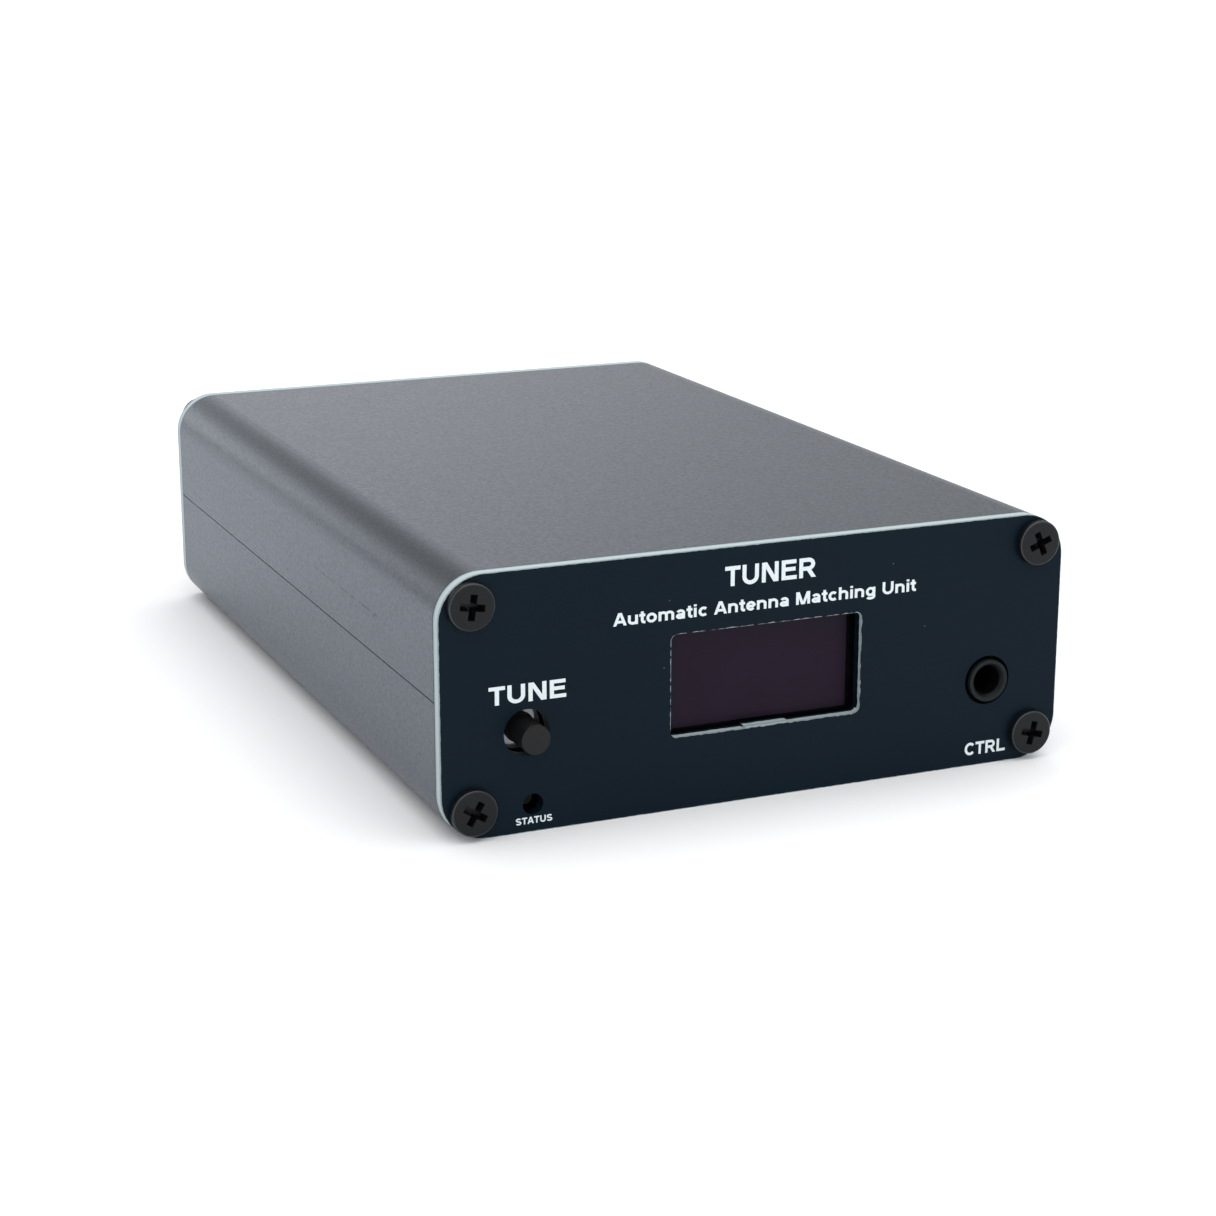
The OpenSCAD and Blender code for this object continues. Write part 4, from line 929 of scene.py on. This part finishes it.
class TUNER_OT_boards(bpy.types.Operator):
    """Finishes the circuit boards and the wound coils"""

    bl_idname = "tuner.boards"
    bl_label = "Boards and coils"

    def execute(self, context):
        # Solder mask over copper: a glossy green or blue whose tone shifts where tracks run under it
        green = finish("green_solder_mask", linear("#12402c"), 0.28, 2.5, 0.01, light=linear("#1d5c3d"))
        finish_nodes(green, "main_board")
        blue = finish("blue_solder_mask", linear("#14305c"), 0.28, 2.5, 0.01, light=linear("#20488a"))
        finish_nodes(blue, "display_board")
        for coil in of_slot("wound_core"):
            finish_nodes(wound_toroid(f"wound_toroid_{coil[-1]}", coil), coil)
        return {"FINISHED"}


class TUNER_OT_metals(bpy.types.Operator):
    """Finishes the plated and turned metal parts, and makes the thumb nut and the threaded ground stud"""

    bl_idname = "tuner.metals"
    bl_label = "Metal parts"

    # The stud: its thread starts a little inside its head
    stud_r = 2 * MM
    thread_depth = 0.26 * MM
    thread_start = 0.1 * MM
    head_l = 2 * MM
    head_bevel = 0.3 * MM
    # The thumb nut: a knurled rim with a smooth hub behind it
    bore_r = 2.05 * MM
    rim_r = 5 * MM
    rim_bevel = 0.35 * MM
    knurl_depth = 0.28 * MM
    points_a_knurl = 8
    hub_r = 3.5 * MM
    hub_l = 1.2 * MM
    hub_bevel = 0.2 * MM

    def thumb_nut(self, knurls):
        """A turned nut with a straight-knurled rim, bevelled at both ends, and a smooth hub."""
        low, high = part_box("ground_thumb_nut")
        centre = middle("ground_thumb_nut")
        step = high.y - self.hub_l
        # Radius, y and the knurls' depth there
        profile = [
            (self.bore_r, low.y, 0),
            (self.rim_r - self.rim_bevel, low.y, 0),
            (self.rim_r, low.y + self.rim_bevel, self.knurl_depth),
            (self.rim_r, step - self.rim_bevel, self.knurl_depth),
            (self.rim_r - self.rim_bevel, step, 0),
            (self.hub_r, step, 0),
            (self.hub_r, high.y - self.hub_bevel, 0),
            (self.hub_r - self.hub_bevel, high.y, 0),
            (self.bore_r, high.y, 0),
        ]
        angles = round_angles(self.points_a_knurl * knurls)
        ridges = [0.5 - 0.5 * math.cos(knurls * angle) for angle in angles]
        bm = bmesh.new()
        rings = []
        for radius, y, depth in profile:
            rings.append(add_ring(bm, centre.x, y, centre.z, [radius - depth * ridge for ridge in ridges]))
        skin(bm, rings + rings[:1])
        return give_mesh(bm, "nut")

    def ground_stud(self, pitch):
        """A stud with a helical thread and a plain bevelled head."""
        low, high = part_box("ground_stud")
        centre = middle("ground_stud")
        head_r = (high.x - low.x) / 2
        head_y = low.y + self.head_l
        start = head_y - self.thread_start
        rod = thread(self.stud_r, self.thread_depth, pitch, start, high.y, centre.x, centre.z)
        profile = [(0, low.y), (head_r - self.head_bevel, low.y), (head_r, low.y + self.head_bevel)]
        profile += [(head_r, head_y), (0, head_y)]
        head = turned(profile, centre.x, centre.z)
        return combine(give_mesh(rod, "stud"), give_mesh(head, "head"), "UNION")

    def execute(self, context):
        sizes = context.scene.tuner_sizes
        rings = (0.1, 1, 0.1)
        # Bright nickel over turned brass: a warm white metal with tool rings, drawn three times as coarse
        warm = linear("#cfcbc1")
        nickel = finish("nickel_plated_brass", warm, 0.2, 0.3, 0.002, sizes.edge, rings, Metallic=1.0)
        finish_nodes(nickel, *of_slot("nickel_plate"))
        # Stamped tin-plated steel: bright, lightly smeared by the rolls
        bright = linear("#b9bcbe")
        steel = finish("stamped_tinned_steel", bright, 0.2, 0.4, 0.002, stretch=(1, 1, 0.1), Metallic=1.0)
        finish_nodes(steel, *of_slot("spring_metal"))
        # Stamped steel, its bright plating darkened as painted shade inside its hole, still bright enough to
        # glint there
        cover = finish("stamped_steel_with_painted_shade", linear("#6c6f71"), 0.1, 1.0, 0.003, Metallic=1.0)
        finish_nodes(cover, "tune_switch_cover")
        # Gold flash on a turned pin: a deep bright yellow with tool rings
        gold = finish("gold_plated_brass", linear("#e2b55a"), 0.18, 0.3, 0.002, stretch=rings, Metallic=1.0)
        finish_nodes(gold, *of_slot("gold_plate"))
        # Turned and knurled brass, dulled by handling
        brass = finish("turned_brass", linear("#c79a4b"), 0.27, 0.4, 0.004, sizes.edge, rings, Metallic=1.0)
        finish_nodes(brass, *of_slot("brass"))
        # Drawn copper wire: a soft red metal, drawn smooth
        copper = finish("drawn_copper", linear("#c4693f"), 0.25, 0.4, 0.002, stretch=rings, Metallic=1.0)
        finish_nodes(copper, *of_slot("copper"))
        nut = self.thumb_nut(sizes.knurls)
        add_piece("knurled_thumb_nut", nut, brass, "thumb_nut", "brass", "ground_thumb_nut")
        stud = self.ground_stud(sizes.thread_pitch)
        add_piece("threaded_ground_stud", stud, nickel, "case", "nickel_plate", "ground_stud")
        return {"FINISHED"}


class TUNER_OT_stage(bpy.types.Operator):
    """Sets the pale floor, the soft lights and the camera"""

    bl_idname = "tuner.stage"
    bl_label = "Stage"

    camera_place = Vector((-128.06, -314.13, 101.31)) * MM
    camera_aim = Vector((3.54, -9.51, 8.87)) * MM
    lens_mm = 74.9
    sensor_mm = 36.0
    # Brightness of the room at heights from level to straight up
    room = ((0.0, 0.8), (0.2, 0.8), (0.34, 0.5), (0.57, 0.45), (0.82, 1.0))
    room_strength = 1.8
    backdrop_strength = 3.0
    # Azimuth from straight behind and elevation of each soft card, the angles from its middle where it is
    # whole and where it is gone, and its share of the room's light: high behind, right, left, low behind
    cards = ((-10, 37, 12, 27, 0.38), (50, 8, 12, 36, 0.55), (-60, 2, 24, 46, 0.25), (-6, 0, 4, 16, 1.9))

    def add_floor(self, context):
        """A pale floor that runs past the view."""
        bm = bmesh.new()
        bmesh.ops.create_grid(bm, x_segments=1, y_segments=1, size=context.scene.tuner_sizes.floor_side / 2)
        floor = bpy.data.objects.new("floor", give_mesh(bm, "floor"))
        context.scene.collection.objects.link(floor)
        rgba = tuple(context.scene.tuner_colours.floor)
        # Pale paper, matt, with the faintest cloud in its tone
        material, add, shader = start_material("pale_paper_sweep", Roughness=0.8, Specular_IOR_Level=0.1)
        fill(shader, Base_Color=add("Mix", mottle(add, 40.0), shade(rgba, 0.995), rgba, data_type="RGBA"))
        floor.data.materials.append(material)

    def toward(self, add, direction, azimuth, elevation, inner, outer):
        """1 within inner degrees of a direction in the room, easing to 0 at outer degrees."""
        a = math.radians(azimuth)
        e = math.radians(elevation)
        aim = (math.sin(a) * math.cos(e), math.cos(a) * math.cos(e), math.sin(e))
        near = add("VectorMath", direction, aim, operation="DOT_PRODUCT")
        gone, whole = (math.cos(math.radians(angle)) for angle in (outer, inner))
        return add("MapRange", near, gone, whole, interpolation_type="SMOOTHSTEP")

    def add_sky(self, context):
        """A white room, dimmer at middle height and to both sides, with a dark card high behind that the
        rounded edge picks up, and a bright patch low behind. Seen directly, the room is plain white."""
        world = bpy.data.worlds.new("studio")
        context.scene.world = world
        world.use_nodes = True
        world.node_tree.nodes.clear()
        add = partial(add_node, world.node_tree)
        direction = add("TexCoord").outputs["Generated"]
        ramp = add("ValToRGB", add("SeparateXYZ", direction).outputs["Z"])
        while len(ramp.color_ramp.elements) < len(self.room):
            ramp.color_ramp.elements.new(0.5)
        for element, (place, level) in zip(ramp.color_ramp.elements, self.room):
            element.position = place
            element.color = (level, level, level, 1)
        strength = self.room_strength
        for azimuth, elevation, inner, outer, share in self.cards:
            card = self.toward(add, direction, azimuth, elevation, inner, outer)
            strength = add("Math", strength, add("MapRange", card, 0, 1, 1, share), operation="MULTIPLY")
        seen = add("LightPath").outputs["Is Camera Ray"]
        seen = add("Math", seen, self.backdrop_strength, operation="MULTIPLY")
        strength = add("Math", strength, seen, operation="MAXIMUM")
        add("OutputWorld", add("Background", ramp, strength))

    def add_light(self, context, name, place, aim, side, watts):
        """A square soft light at a place, aimed at another."""
        data = bpy.data.lights.new(name, "AREA")
        data.shape = "SQUARE"
        data.size = side
        data.energy = watts
        light = bpy.data.objects.new(name, data)
        light.location = place
        light.rotation_euler = (Vector(aim) - Vector(place)).to_track_quat("-Z", "Y").to_euler()
        context.scene.collection.objects.link(light)

    def add_camera(self, context):
        """The camera, aimed at the front of the tuner."""
        data = bpy.data.cameras.new("camera")
        data.lens = self.lens_mm
        data.sensor_width = self.sensor_mm
        data.clip_start = 0.01
        data.clip_end = 20
        camera = bpy.data.objects.new("camera", data)
        camera.location = self.camera_place
        camera.rotation_euler = (self.camera_aim - self.camera_place).to_track_quat("-Z", "Y").to_euler()
        context.scene.collection.objects.link(camera)
        context.scene.camera = camera

    def execute(self, context):
        context.scene.view_settings.view_transform = "Standard"
        self.add_floor(context)
        self.add_sky(context)
        self.add_light(context, "overhead_softbox", place=(0.1, 0.3, 1.6), aim=(0, 0, 0), side=1.4, watts=4)
        self.add_camera(context)
        return {"FINISHED"}


OPERATORS = (
    TUNER_OT_stage,
    TUNER_OT_case,
    TUNER_OT_panels,
    TUNER_OT_screws,
    TUNER_OT_lettering,
    TUNER_OT_button,
    TUNER_OT_display,
    TUNER_OT_plastics,
    TUNER_OT_boards,
    TUNER_OT_metals,
)


class TUNER_PT_sidebar(bpy.types.Panel):
    """Lists the tuner's pieces, sizes and colours"""

    bl_idname = "TUNER_PT_sidebar"
    bl_label = "Antenna tuner"
    bl_space_type = "VIEW_3D"
    bl_region_type = "UI"
    bl_category = "Antenna tuner"

    def draw(self, context):
        for operator in OPERATORS:
            self.layout.operator(operator.bl_idname)
        for group in (context.scene.tuner_sizes, context.scene.tuner_colours):
            for name in group.__annotations__:
                self.layout.prop(group, name)


CLASSES = (TunerSizes, TunerColours, *OPERATORS, TUNER_PT_sidebar)


def register():
    for cls in CLASSES:
        bpy.utils.register_class(cls)
    bpy.types.Scene.tuner_sizes = PointerProperty(type=TunerSizes)
    bpy.types.Scene.tuner_colours = PointerProperty(type=TunerColours)


def unregister():
    del bpy.types.Scene.tuner_colours
    del bpy.types.Scene.tuner_sizes
    for cls in reversed(CLASSES):
        bpy.utils.unregister_class(cls)


def main():
    register()
    for operator in OPERATORS:
        group, name = operator.bl_idname.split(".")
        getattr(getattr(bpy.ops, group), name)()


if __name__ == "__main__":
    main()
